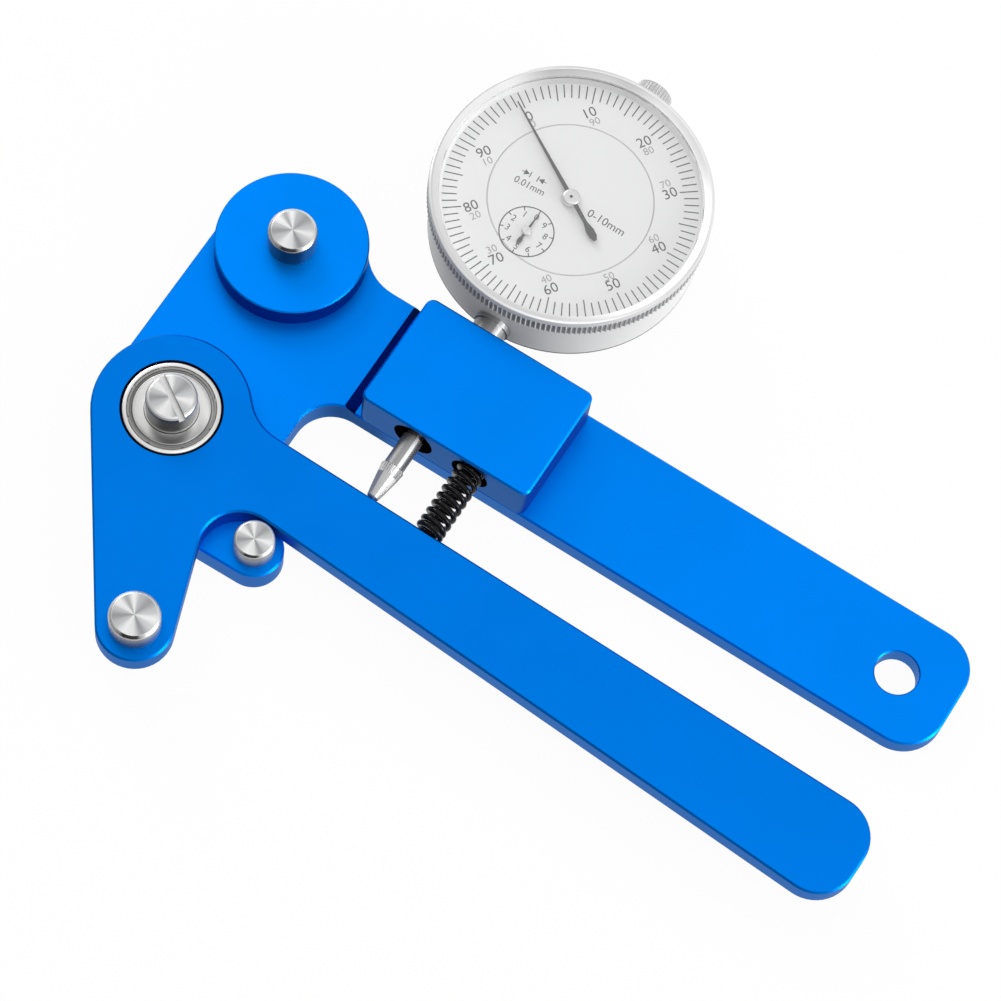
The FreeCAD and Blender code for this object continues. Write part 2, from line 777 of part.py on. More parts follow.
def tooth(root, tip):
    """Corners of one straight-sided tooth as (reach, share of the pitch)."""
    return ((root, -ROOT_SHARE), (tip, -TIP_SHARE), (tip, TIP_SHARE), (root, ROOT_SHARE))


def gear(teeth, module, low, high, centre, phase, bore):
    """Spur gear with straight-sided teeth; phase is the direction of one tooth, in degrees."""
    pitch = 2 * math.pi / teeth
    root = module * (teeth / 2 - DEDENDUM)
    tip = module * (teeth / 2 + ADDENDUM)
    points = []
    for k in range(teeth):
        middle = math.radians(phase) + k * pitch
        for radius, share in tooth(root, tip):
            angle = middle + share * pitch
            across = centre[0] + radius * math.cos(angle)
            points.append(V(across, centre[1] + radius * math.sin(angle), low))
    solid = Part.Face(Part.makePolygon(points + points[:1])).extrude(V(0, 0, high - low))
    if bore:
        solid = solid.cut(cylinder((centre[0], centre[1], low - OVER), bore, high - low + 2 * OVER))
    return solid


def rack_pinion():
    """Rack pinion and its arbor, which carries the wheel and the small pointer."""
    x, y = gear_axes()[0]
    module = RACK_PITCH / math.pi
    low = STEM_Z - RACK_WIDTH / 2
    pinion = gear(PINION_TEETH, module, low, low + RACK_WIDTH, (x, y), 0, 0)
    foot = low - PINION_FOOT
    arbor = cylinder((x, y, foot), ARBOR_R, SMALL_POINTER_Z - foot)
    return pinion.fuse(arbor).removeSplitter()


def reduction_wheel():
    x, y = gear_axes()[0]
    high = WHEEL_Z + WHEEL_T
    return gear(WHEEL_TEETH, wheel_module(), WHEEL_Z, high, (x, y), mesh_angle(), WHEEL_BORE_R)


def centre_pinion():
    """Pinion on the pointer's arbor."""
    low, high = CENTRE_PINION_Z
    half_tooth = 180.0 / CENTRE_TEETH
    pinion = gear(CENTRE_TEETH, wheel_module(), low, high, DIAL, mesh_angle() + 180 + half_tooth, 0)
    foot = PLATE_Z + RUNNING
    arbor = cylinder((DIAL[0], DIAL[1], foot), ARBOR_R, POINTER_Z - HUB_DROP - foot)
    return pinion.fuse(arbor).removeSplitter()


def take_up_wheel():
    x, y = gear_axes()[1]
    phase = mesh_angle() + 180
    wheel = gear(WHEEL_TEETH, wheel_module(), TAKE_UP_Z, TAKE_UP_Z + WHEEL_T, (x, y), phase, 0)
    foot = PLATE_Z + RUNNING
    arbor = cylinder((x, y, foot), ARBOR_R, BRIDGE_Z + BRIDGE_T - RUNNING - foot)
    return wheel.fuse(arbor).removeSplitter()


def hairspring():
    """Flat spiral round the take-up wheel's arbor."""
    x, y = gear_axes()[1]
    steps = HAIRSPRING_TURNS * HAIRSPRING_SIDES
    inner = []
    outer = []
    for k in range(steps + 1):
        angle = 2 * math.pi * k / HAIRSPRING_SIDES
        radius = HAIRSPRING_IN_R + HAIRSPRING_SPREAD * k / steps
        for line, extra in ((inner, 0.0), (outer, HAIRSPRING_STRIP)):
            reach = radius + extra
            line.append(V(x + reach * math.cos(angle), y + reach * math.sin(angle), HAIRSPRING_Z))
    points = inner + outer[::-1]
    return Part.Face(Part.makePolygon(points + points[:1])).extrude(V(0, 0, HAIRSPRING_W))


def spindle():
    """Plunger rod with a thicker nose below the stem and the rack on one flank."""
    rod = turned_along_y([
        (0, SPINDLE_START), (NOSE_R, SPINDLE_START), (NOSE_R, NOSE_END),
        (SPINDLE_R, NOSE_END), (SPINDLE_R, SPINDLE_END), (0, SPINDLE_END),
    ], STEM_X, STEM_Z)
    x, y = gear_axes()[0]
    module = RACK_PITCH / math.pi
    pitch_x = x + module * PINION_TEETH / 2
    tip = pitch_x - ADDENDUM * module
    root = pitch_x + DEDENDUM * module
    back = STEM_X - RACK_ROOT_X
    first = y - RACK_OVERRUN - RACK_SPARE * RACK_PITCH
    points = [V(back, first, 0), V(root, first, 0)]
    for k in range(RACK_TEETH):
        middle = first + (k + 1) * RACK_PITCH
        for reach, share in tooth(root, tip):
            points.append(V(reach, middle + share * RACK_PITCH, 0))
    end = first + (RACK_TEETH + 1) * RACK_PITCH
    points += [V(root, end, 0), V(back, end, 0)]
    low = STEM_Z - RACK_WIDTH / 2
    bar = Part.Face(Part.makePolygon(points + points[:1])).extrude(V(0, 0, RACK_WIDTH))
    bar.translate(V(0, 0, low))
    return rod.fuse(bar).removeSplitter()


def contact_point():
    """Contact tip: collar, cone and rounded nose that rests on the arm's edge."""
    nose = [(0, TIP_Y)]
    for k in range(1, TIP_STEPS + 1):
        angle = math.radians(TIP_REACH * k / TIP_STEPS)
        nose.append((TIP_R * math.sin(angle), TIP_Y + TIP_R * (1 - math.cos(angle))))
    profile = nose + [
        (CONE_R, CONE_END), (COLLAR_R, COLLAR_Y[0]), (COLLAR_R, COLLAR_Y[1]),
        (NOSE_R, SPINDLE_START), (0, SPINDLE_START),
    ]
    return turned_along_y(profile, STEM_X, STEM_Z)


def lifting_knob():
    low, high = KNOB_Y
    profile = [
        (SPINDLE_R, low), (KNOB_R - KNOB_CHAMFER, low), (KNOB_R, low + KNOB_CHAMFER),
        (KNOB_R, high - KNOB_CHAMFER), (KNOB_R - KNOB_CHAMFER, high), (0, high), (0, SPINDLE_END),
        (SPINDLE_R, SPINDLE_END),
    ]
    return turned_along_y(profile, STEM_X, STEM_Z)


def guide_pin():
    start = (STEM_X, GUIDE_PIN_Y, GUIDE_PIN_Z)
    pin = cylinder(start, GUIDE_PIN_R, STEM_Z - GUIDE_PIN_Z)
    rod = cylinder((STEM_X, GUIDE_PIN_Y - SPINDLE_R, STEM_Z), SPINDLE_R, 2 * SPINDLE_R, ALONG_Y)
    return pin.cut(rod)


def guide_rail():
    """Slotted rail on the back cover that keeps the spindle from turning."""
    low = CASE_Z + CASE_LIP
    y0, y1 = RAIL_Y
    rail = box((STEM_X - RAIL_HALF_W, y0, low), (STEM_X + RAIL_HALF_W, y1, low + RAIL_T))
    gap = GUIDE_PIN_R + RUNNING
    slot = box(
        (STEM_X - gap, y0 + RAIL_END, low - OVER),
        (STEM_X + gap, y1 - RAIL_END, low + RAIL_T + OVER),
    )
    return rail.cut(slot)


def hand(length, tail, widths, angle, centre, low, thick, hub_r, hub_low, hub_high):
    """Pointer: a tapering hand and its round hub, turned to an angle about its arbor."""
    at_tip, at_hub, at_tail, at_end = widths
    outline = [
        (length, at_tip), (0, at_hub), (-tail + TAIL_NECK * at_tail, at_hub),
        (-tail + TAIL_SHOULDER * at_tail, at_tail), (-tail, at_end),
    ]
    points = [V(x, w, low) for x, w in outline] + [V(x, -w, low) for x, w in reversed(outline)]
    blade = Part.Face(Part.makePolygon(points + points[:1])).extrude(V(0, 0, thick))
    hub = cylinder((0, 0, hub_low), hub_r, hub_high - hub_low)
    solid = blade.fuse(hub).removeSplitter()
    solid.rotate(V(0, 0, 0), UP, angle)
    solid.translate(V(centre[0], centre[1], 0))
    return solid


def large_pointer():
    return hand(POINTER_LENGTH, POINTER_TAIL, POINTER_WIDTHS, POINTER_ANGLE, DIAL,
                POINTER_Z, POINTER_T, HUB_R, POINTER_Z - HUB_DROP, POINTER_Z + HUB_RISE)


def small_pointer():
    low = SMALL_POINTER_Z
    return hand(SMALL_POINTER_LENGTH, SMALL_POINTER_TAIL, SMALL_POINTER_WIDTHS, SMALL_POINTER_ANGLE,
                gear_axes()[0], low, SMALL_POINTER_T, SMALL_HUB_R, low, low + SMALL_HUB_H)


def save(name, shapes):
    if not isinstance(shapes, list):
        shapes = [shapes]
    solids = []
    for shape in shapes:
        solids += shape.Solids
    for solid in solids:
        assert solid.isValid() and solid.Volume > 0, name
    shape = solids[0] if len(solids) == 1 else Part.makeCompound(solids)
    shape.exportStep("parts/" + name + ".step")
    size = shape.BoundBox
    line = "%-20s %d solids %9.1f mm3  z %6.2f..%6.2f"
    print(line % (name, len(solids), shape.Volume, size.ZMin, size.ZMax))


save("base_plate", base_plate())
save("moving_arm", moving_arm())
save("raised_disc", raised_disc())
save("upper_spoke_post", post(UPPER_POST, UPPER_POST_R, ARM_TOP, UPPER_POST_TOP, POST_SHANK_END))
lower_shank_end = ARM_Z + LOWER_SHANK_END
save("lower_spoke_post", post(LOWER_POST, LOWER_POST_R, ARM_TOP, LOWER_POST_TOP, lower_shank_end))
save("stop_post", post(STOP_POST, STOP_POST_R, HEAD_T, ARM_TOP, POST_SHANK_END, STOP_POST_ROUND))
save("pivot_stud", pivot_stud())
save("pivot_spacer", tube((0, 0, PIVOT_RECESS_Z), SPACER_R, BEARING_BORE_R, BEARING_Z - PIVOT_RECESS_Z))
save("bearing_inner_ring", bearing_ring(BEARING_BORE_R, INNER_RING_R))
save("bearing_outer_ring", bearing_ring(OUTER_RING_IN_R, BEARING_R))
save("bearing_balls", ring_of(ball(), BALL_COUNT, BALL_PITCH_R, BEARING_Z + BEARING_W / 2))
save("bearing_cage", bearing_cage())
save("bearing_shields", bearing_shields())
save("gauge_block", gauge_block())
save("block_screws", [block_screw(x) for x in BLOCK_SCREW_X])
save("stem_clamp_screw", clamp_screw())
save("main_spring", main_spring())
save("gauge_case", gauge_case())
save("case_back", case_back())
save("case_screws", case_screws())
save("gauge_stem", gauge_stem())
save("upper_bushing", upper_bushing())
save("movement_plate", movement_plate())
save("movement_bridge", movement_bridge())
save("dial_base", dial_base())
save("inner_dial", inner_dial())
save("dial_ring", dial_ring())
save("bezel", bezel())
save("crystal", crystal())
save("rack_pinion", rack_pinion())
save("reduction_wheel", reduction_wheel())
save("centre_pinion", centre_pinion())
save("take_up_wheel", take_up_wheel())
save("hairspring", hairspring())
save("spindle", spindle())
save("contact_point", contact_point())
save("lifting_knob", lifting_knob())
save("guide_pin", guide_pin())
save("guide_rail", guide_rail())
save("large_pointer", large_pointer())
save("small_pointer", small_pointer())
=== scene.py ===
# %% [markdown]
# # A spoke tension meter with a dial gauge
# A wheel builder hooks this tool over a spoke and squeezes its two handles. The lever then turns on
# a ball bearing, a spring pushes back, and the dial gauge shows how far the spoke has bent.
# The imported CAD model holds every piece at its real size. This script gives the pieces their finish,
# and it swaps a few plain solids for richer meshes: knurled rims, a round-wire spring, a dial print.

# %% Load the fixed frame
import math

import bmesh
import bpy
import numpy as np
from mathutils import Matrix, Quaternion, Vector


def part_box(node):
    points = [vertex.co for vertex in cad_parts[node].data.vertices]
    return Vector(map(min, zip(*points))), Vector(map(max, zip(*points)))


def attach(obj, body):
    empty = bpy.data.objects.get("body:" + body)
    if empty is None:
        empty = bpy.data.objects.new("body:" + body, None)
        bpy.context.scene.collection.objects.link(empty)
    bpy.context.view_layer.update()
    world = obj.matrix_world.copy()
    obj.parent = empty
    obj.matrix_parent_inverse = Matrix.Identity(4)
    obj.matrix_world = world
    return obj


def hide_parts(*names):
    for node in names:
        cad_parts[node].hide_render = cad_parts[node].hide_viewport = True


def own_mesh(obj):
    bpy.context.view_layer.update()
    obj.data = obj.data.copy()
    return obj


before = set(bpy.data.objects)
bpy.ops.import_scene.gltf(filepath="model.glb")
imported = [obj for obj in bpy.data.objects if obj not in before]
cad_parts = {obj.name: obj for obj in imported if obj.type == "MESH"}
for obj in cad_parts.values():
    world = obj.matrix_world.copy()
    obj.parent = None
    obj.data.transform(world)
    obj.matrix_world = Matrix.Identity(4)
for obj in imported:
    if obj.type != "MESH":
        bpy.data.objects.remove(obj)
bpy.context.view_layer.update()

MM = 0.001
TURN = 2 * math.pi

# %% [markdown]
# ## Places worked out from the frame
# Every new piece has to sit where its CAD node is. Reading the node's box, instead of typing
# numbers, keeps the two in step when a driving dimension changes.

# %% Axes and levels
def spot(node):
    """Middle of a node's box, as an array in metres."""
    low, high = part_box(node)
    return (np.array(low) + np.array(high)) / 2


def levels(node, axis=2):
    """Lowest and highest place of a node along an axis, which is Z unless said otherwise."""
    low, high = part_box(node)
    return low[axis], high[axis]


def radius_of(node):
    """Half a node's width along X."""
    low, high = levels(node, 0)
    return (high - low) / 2


dial = spot("crystal")
pivot = spot("bearing_outer_ring")
rod = spot("lifting_knob")
dial_top = levels("dial_ring")[1]
arm_top = levels("moving_arm")[1]
print("dial centre in mm:", np.round(dial / MM, 2), "dial level:", round(dial_top / MM, 2))

# %% [markdown]
# ## Camera
# A long lens keeps the handles nearly parallel, as product pictures do. The camera stands in front
# and to the right, looks steeply down, and is rolled so that the handles run across the picture.

# %% Camera
CAMERA_PLACE = Vector((0.186151, -0.279322, 0.801498))
CAMERA_TARGET = Vector((0.070395, 0.026769, 0.0))
CAMERA_ROLL = math.radians(12.1074)
LENS_MM = 139.024
SENSOR_MM = 36.0


def new_object(name, data):
    """Object that holds the data, linked to the scene."""
    made = bpy.data.objects.new(name, data)
    bpy.context.scene.collection.objects.link(made)
    return made


def stand(thing, place, roll=0.0):
    """Stand a camera or lamp at a place in metres, turned to the middle of the tool, and roll it."""
    thing.location = Vector(place)
    thing.rotation_mode = "QUATERNION"
    aim = (CAMERA_TARGET - thing.location).to_track_quat("-Z", "Y")
    thing.rotation_quaternion = aim @ Quaternion((0, 0, 1), roll)


camera_data = bpy.data.cameras.new("camera")
camera_data.sensor_width = SENSOR_MM
camera_data.lens = LENS_MM
camera = new_object("camera", camera_data)
stand(camera, CAMERA_PLACE, CAMERA_ROLL)
bpy.context.scene.camera = camera
bpy.context.scene.view_settings.view_transform = "Standard"
print("camera distance in m:", round((CAMERA_TARGET - CAMERA_PLACE).length, 3))

# %% [markdown]
# ## Building shader trees
# A material is a small graph. Typing each node and link by hand hides what the graph says, so a few
# helpers do it. Each adds one node, fills its sockets with values or links, and returns its result.

# %% Node helpers
def fill(tree, socket, value):
    """Link an output to a socket, or set its value; a colour of three numbers gets its fourth."""
    if isinstance(value, bpy.types.NodeSocket):
        tree.links.new(value, socket)
    elif socket.type == "RGBA":
        socket.default_value = (*value, 1.0)
    else:
        socket.default_value = value


def node(tree, kind, values=None, **settings):
    """Add a node; values fills its sockets by name or number, settings are its properties."""
    made = tree.nodes.new("ShaderNode" + kind)
    for key, value in settings.items():
        setattr(made, key, value)
    for key, value in (values or {}).items():
        fill(tree, made.inputs[key], value)
    return made


def maths(tree, operation, *values):
    """Math node on numbers or outputs."""
    return node(tree, "Math", dict(enumerate(values)), operation=operation).outputs[0]


def vector_maths(tree, operation, *values):
    """Vector Math node; lengths, distances and dot products come out as numbers."""
    made = node(tree, "VectorMath", dict(enumerate(values)), operation=operation)
    return made.outputs["Value" if operation in ("LENGTH", "DISTANCE", "DOT_PRODUCT") else "Vector"]


def ramp(tree, value, low, high, to_low, to_high):
    """Map Range with a soft start and end."""
    values = {"Value": value, "From Min": low, "From Max": high, "To Min": to_low, "To Max": to_high}
    return node(tree, "MapRange", values, interpolation_type="SMOOTHSTEP").outputs["Result"]


def blend(tree, factor, first, second):
    """Mix two colours; each is three numbers or an output."""
    return node(tree, "Mix", {0: factor, 6: first, 7: second}, data_type="RGBA").outputs[2]


def own_place(tree):
    """Object coordinates, which are a point's place in the frame."""
    return node(tree, "TexCoord").outputs["Object"]


def parts_of(tree, vector):
    """The X, Y and Z outputs of a vector."""
    return node(tree, "SeparateXYZ", {0: vector}).outputs


def facing_up(tree):
    """Height of the true normal: 1 on a face that looks up, 0 on an upright wall."""
    return parts_of(tree, node(tree, "NewGeometry").outputs["True Normal"])["Z"]


def grey(level):
    return (level, level, level)


# %% [markdown]
# ## Studio
# Metal only looks like metal when it has something to reflect. The world is a soft box of light,
# bright above and to the right, darker low down in front, and white where the camera sees it. The
# floor is white too, but it still takes part of the tool's own shadow.

# %% World
WORLD_LOW = 0.10
WORLD_HIGH = 0.86
LEAN = (0.35, 0.25, 0.75)
LEAN_LOW = -0.35
LEAN_HIGH = 0.75


def seen_straight(tree):
    """1 for rays that look at or through things: camera and transmission rays."""
    path = node(tree, "LightPath").outputs
    return maths(tree, "MAXIMUM", path["Is Camera Ray"], path["Is Transmission Ray"])


def build_world():
    """Brightness follows a leaning vertical: the ray's direction times LEAN."""
    world = bpy.data.worlds.new("studio")
    bpy.context.scene.world = world
    world.use_nodes = True
    tree = world.node_tree
    direction = node(tree, "TexCoord").outputs["Generated"]
    lean = vector_maths(tree, "DOT_PRODUCT", direction, LEAN)
    level = ramp(tree, lean, LEAN_LOW, LEAN_HIGH, WORLD_LOW, WORLD_HIGH)
    straight = seen_straight(tree)
    kept = maths(tree, "MULTIPLY", level, maths(tree, "SUBTRACT", 1.0, straight))
    background = tree.nodes["Background"].inputs
    fill(tree, background["Color"], grey(1.0))
    fill(tree, background["Strength"], maths(tree, "ADD", kept, straight))


build_world()
print("world brightness from", WORLD_LOW, "to", WORLD_HIGH)


# %% Lamps
def softbox(name, place, size, watts):
    """Square area lamp; size and place are in metres."""
    data = bpy.data.lights.new(name, "AREA")
    data.size = size
    data.energy = watts
    stand(new_object(name, data), place)


# Rows of place, size and watts
LAMPS = {
    "key_softbox": ((-0.85, 0.62, 0.62), 0.5, 5.0),
    "right_softbox": ((1.2, 0.05, 0.28), 0.5, 6.5),
    "top_softbox": ((0.22, -0.02, 1.3), 0.3, 1.2),
}
for lamp_name, lamp_row in LAMPS.items():
    softbox(lamp_name, *lamp_row)
print("lamps:", ", ".join(LAMPS))

# %% Floor
FLOOR_HALF = 6.0
FLOOR_DROP = 0.0002
SHADOW_SHARE = 0.05


def build_floor():
    """White plane under the tool: part plain diffuse, part white light for what looks at it."""
    signs = [(-1, -1), (1, -1), (1, 1), (-1, 1)]
    corners = [(x * FLOOR_HALF, y * FLOOR_HALF, -FLOOR_DROP) for x, y in signs]
    mesh = bpy.data.meshes.new("floor")
    mesh.from_pydata(corners, [], [(0, 1, 2, 3)])
    floor = new_object("floor", mesh)
    material = bpy.data.materials.new("white_floor")
    material.use_nodes = True
    tree = material.node_tree
    tree.nodes.clear()
    matt = node(tree, "BsdfDiffuse", {"Color": grey(0.9)}).outputs[0]
    glow = node(tree, "Emission", {"Color": grey(1.0), "Strength": 1.0}).outputs[0]
    glossy = node(tree, "LightPath").outputs["Is Glossy Ray"]
    looked = maths(tree, "MAXIMUM", seen_straight(tree), glossy)
    share = maths(tree, "MULTIPLY", looked, 1.0 - SHADOW_SHARE)
    mixed = node(tree, "MixShader", {0: share, 1: matt, 2: glow}).outputs[0]
    node(tree, "OutputMaterial", {"Surface": mixed})
    mesh.materials.append(material)


build_floor()
print("floor keeps", SHADOW_SHARE, "of the shadow for the camera")

# %% [markdown]
# ## Effects that several finishes share
# Blasted grain, lathe rings, masks, and painted light and shade round an axis turn up on many pieces.
# Each is a node group with named sockets, so one drawing serves every finish and only its numbers change.


# %% Node groups
ORIGIN = (0.0, 0.0, 0.0)
ACROSS_Y = (1.0, 0.0, 1.0)
ACROSS_Z = (1.0, 1.0, 0.0)


def new_group(name, inputs, outputs):
    """Empty node group. inputs has each socket's name and default, where three numbers make a vector;
    outputs are names of number sockets.
    """
    tree = bpy.data.node_groups.new(name, "ShaderNodeTree")
    for label, default in inputs.items():
        kind = "NodeSocketVector" if isinstance(default, tuple) else "NodeSocketFloat"
        tree.interface.new_socket(label, in_out="INPUT", socket_type=kind).default_value = default
    for label in outputs:
        tree.interface.new_socket(label, in_out="OUTPUT", socket_type="NodeSocketFloat")
    return tree, tree.nodes.new("NodeGroupInput").outputs, tree.nodes.new("NodeGroupOutput").inputs


def from_axis(tree, centre, across):
    """Distance from an axis through centre; across is 0 along the axis and 1 across it."""
    offset = vector_maths(tree, "SUBTRACT", own_place(tree), centre)
    return vector_maths(tree, "LENGTH", vector_maths(tree, "MULTIPLY", offset, across))


def fine_grain_group():
    """Grain: fine noise for height and slow noise for tone, both on Object coordinates."""
    scales = {"Grain Scale": 5000.0, "Cloud Scale": 60.0}
    tree, ins, outs = new_group("fine_grain", scales, ["Height", "Tone"])
    for label, scale, detail in (("Height", "Grain Scale", 2.0), ("Tone", "Cloud Scale", 4.0)):
        values = {"Vector": own_place(tree), "Scale": ins[scale], "Detail": detail}
        fill(tree, outs[label], node(tree, "TexNoise", values).outputs[0])
    return tree


def lathe_rings_group():
    """Rings: height is the sine of the distance from a vertical axis over the pitch."""
    tree, ins, outs = new_group("lathe_rings", {"Centre": ORIGIN, "Pitch": 0.0003}, ["Height"])
    turns = maths(tree, "DIVIDE", from_axis(tree, ins["Centre"], ACROSS_Z), ins["Pitch"])
    fill(tree, outs["Height"], maths(tree, "SINE", maths(tree, "MULTIPLY", turns, TURN)))
    return tree


def wall_mask_group():
    """Mask: 0 on faces that look up or down, 1 on upright walls. Slope: 1 where a face leans by 30 deg."""
    tree, _, outs = new_group("wall_mask", {}, ["Mask", "Slope"])
    up = facing_up(tree)
    fill(tree, outs["Mask"], ramp(tree, maths(tree, "ABSOLUTE", up), 0.35, 0.68, 1.0, 0.0))
    fill(tree, outs["Slope"], maths(tree, "COMPARE", up, 0.85, 0.05))
    return tree


def bore_mask_group():
    """Mask: 1 nearer than Reach to an axis through Centre, 0 beyond. Across is 0 along the axis."""
    sockets = {"Centre": ORIGIN, "Across": ACROSS_Y, "Reach": 0.005}
    tree, ins, outs = new_group("bore_mask", sockets, ["Mask"])
    away = from_axis(tree, ins["Centre"], ins["Across"])
    fill(tree, outs["Mask"], maths(tree, "LESS_THAN", away, ins["Reach"]))
    return tree


def round_tone_group(name, stops, other):
    """Painted light and shade by the direction about an axis through Centre, from X towards the other
    named axis. stops are rows of (degrees, tone), and the last one leads back to the first.
    """
    tree, ins, outs = new_group(name, {"Centre": ORIGIN}, ["Tone"])
    offset = parts_of(tree, vector_maths(tree, "SUBTRACT", own_place(tree), ins["Centre"]))
    turn = maths(tree, "ARCTAN2", offset[other], offset["X"])
    share = maths(tree, "ADD", maths(tree, "DIVIDE", turn, TURN), 0.5)
    scale = node(tree, "ValToRGB", {0: share})
    scale.color_ramp.interpolation = "EASE"
    steps = scale.color_ramp.elements
    for k, (degrees, tone) in enumerate(stops + ((180, stops[0][1]),)):
        position = degrees / 360 + 0.5
        stop = steps[k] if k < 2 else steps.new(position)
        stop.position = position
        stop.color = (*grey(tone), 1.0)
    fill(tree, outs["Tone"], scale.outputs[0])
    return tree


# Painted light and shade: rows of (direction about the axis in degrees, tone), with tone 0 dark and 1
# bright. wedges and bars are painted highlights, front and crescent painted shade, cone and ridge both.
PAINTED_ROUND_LIGHT = {
    "wedges": ((-180, 0.9), (-168, 0.45), (-144, 0.05), (-120, 0.4), (-88, 0.95), (-66, 0.8),
               (-36, 0.0), (-8, 0.5), (18, 1.0), (42, 0.5), (76, 0.1), (105, 0.35), (126, 1.0),
               (147, 0.2), (170, 0.95)),
    "front": ((-180, 0.9), (-140, 1.0), (-105, 0.35), (-75, 0.0), (-45, 0.0), (-20, 0.5), (15, 1.0),
              (90, 0.8)),
    "crescent": ((-180, 0.0), (-115, 0.0), (-98, 0.4), (-84, 1.0), (-52, 1.0), (-38, 0.4), (-24, 0.0)),
    "bars": ((-180, 0.0), (0, 0.0), (12, 0.2), (28, 0.12), (46, 0.2), (52, 1.0), (66, 1.0), (72, 0.3),
             (110, 0.2), (140, 0.22), (158, 0.15), (170, 0.0)),
    "cone": ((-180, 0.85), (-149, 0.75), (-59, 0.8), (31, 1.0), (76, 1.0), (100, 0.3), (128, 0.04),
             (152, 0.75)),
    "ridge": ((-180, 0.4), (-149, 0.45), (-59, 0.7), (-10, 0.65), (31, 0.9), (75, 0.9), (121, 0.6)),
}
GROUPS = {"grain": fine_grain_group(), "rings": lathe_rings_group(), "walls": wall_mask_group(),
          "bores": bore_mask_group()}
for light_name, light_stops in PAINTED_ROUND_LIGHT.items():
    GROUPS[light_name] = round_tone_group(light_name, light_stops, "Z" if light_name == "bars" else "Y")


def use_group(tree, name, **values):
    """Place a shared group in a material; underscores in value names stand for spaces."""
    made = node(tree, "Group", node_tree=GROUPS[name])
    for key, value in values.items():
        fill(tree, made.inputs[key.replace("_", " ")], value)
    return made.outputs


# Painted light and shade by direction about an axis through centre, from a shared group
def round_tone(tree, name, centre):
    return use_group(tree, name, Centre=tuple(centre))["Tone"]


def near_axis(tree, centre, reach, across=ACROSS_Z):
    """1 nearer than reach to an axis through centre."""
    return use_group(tree, "bores", Centre=tuple(centre), Reach=reach, Across=across)["Mask"]


def near_point(tree, point, near, far, share):
    """share up to near from a point, and 0 beyond far."""
    return ramp(tree, vector_maths(tree, "DISTANCE", own_place(tree), tuple(point)), near, far, share, 0.0)


def below(tree, level):
    """1 below a level in metres."""
    return maths(tree, "LESS_THAN", parts_of(tree, own_place(tree))["Z"], level)


print("shared effects:", ", ".join(GROUPS))


# %% Starting point of a finish
class Finish:
    """A material in the making: its tree, its Principled shader and the colour built up so far."""

    def __init__(self, name, metallic, roughness, colour, **sockets):
        self.material = bpy.data.materials.new(name)
        self.material.use_nodes = True
        self.tree = self.material.node_tree
        self.roughness = roughness
        self.colour = colour
        for key, value in {"Metallic": metallic, "Roughness": roughness, **sockets}.items():
            self.put(key.replace("_", " "), value)

    def put(self, socket, value):
        """Set or link one of the shader's inputs."""
        fill(self.tree, self.tree.nodes["Principled BSDF"].inputs[socket], value)

    def paint(self, mask, colour):
        """Blend the colour towards another one where the mask is 1."""
        self.colour = blend(self.tree, mask, self.colour, colour)

    def relief(self, height, distance, strength):
        """Feed a height into the normal; distance is the relief in metres."""
        values = {"Height": height, "Distance": distance, "Strength": strength}
        self.put("Normal", node(self.tree, "Bump", values).outputs["Normal"])

    def grain(self, fine, slow, spread, rough_spread, relief=None, strength=None):
        """Vary colour and roughness a little with slow noise, and add relief from fine noise."""
        noise = use_group(self.tree, "grain", Grain_Scale=fine, Cloud_Scale=slow)
        if spread:
            darker = tuple(c * (1 - spread) for c in self.colour)
            lighter = tuple(min(1.0, c * (1 + spread)) for c in self.colour)
            self.colour = blend(self.tree, noise["Tone"], darker, lighter)
        if rough_spread:
            ends = (self.roughness - rough_spread, self.roughness + rough_spread)
            self.put("Roughness", ramp(self.tree, noise["Tone"], 0.25, 0.75, *ends))
        if relief:
            self.relief(noise["Height"], relief, strength)
        return noise

    def done(self):
        self.put("Base Color", self.colour)
        print("finish:", self.material.name)
        return self.material


def grained(name, metallic, roughness, colour, grain, **sockets):
    """Finish of one colour; grain is the row that Finish.grain takes."""
    finish = Finish(name, metallic, roughness, colour, **sockets)
    finish.grain(*grain)
    return finish.done()


# %% [markdown]
# ## Blue anodised aluminium
# The plates are bead-blasted and then anodised: a fine matt grain under a deep, clear blue. Dye
# sits in the metal's own oxide, so the material is metal with a blue colour, not blue paint. The
# walls carry painted shade: the wall mask mixes the face blue with darker blues. Slopes carry a
# painted reflection of the dark wall beside them, and bores and nooks carry painted shade.

# %% Blue anodised aluminium
# Painted shade for walls, painted reflection for slopes, painted black shade inside bores and round the
# bearing
SLOPE_PAINTED_REFLECTION = (0.0, 0.03, 0.19)
PLATE_WALL_SHADE = (0.035, 0.135, 0.44)
BLOCK_WALL_SHADE = (0.03, 0.095, 0.31)
ARCH_WALL_SHADE = (0.008, 0.045, 0.2)
DISC_WALL_SHADE = (0.0, 0.045, 0.2)
BORE_PAINTED_SHADE = (0.001, 0.002, 0.008)
SPILL = (0.2, 0.21, 0.24)
BLASTED = (5200.0, 45.0, 0.03, 0.03, 0.03 * MM, 0.35)
ARCH_TOP = np.array([34.0, 24.0, 4.0]) * MM
ARCH_SHADE_NEAR = 4 * MM
ARCH_SHADE_FAR = 12 * MM
STEM_BORE_REACH = 4.95 * MM
SPRING_BORE_REACH = 4.65 * MM
BEARING_GAP = 0.52 * MM


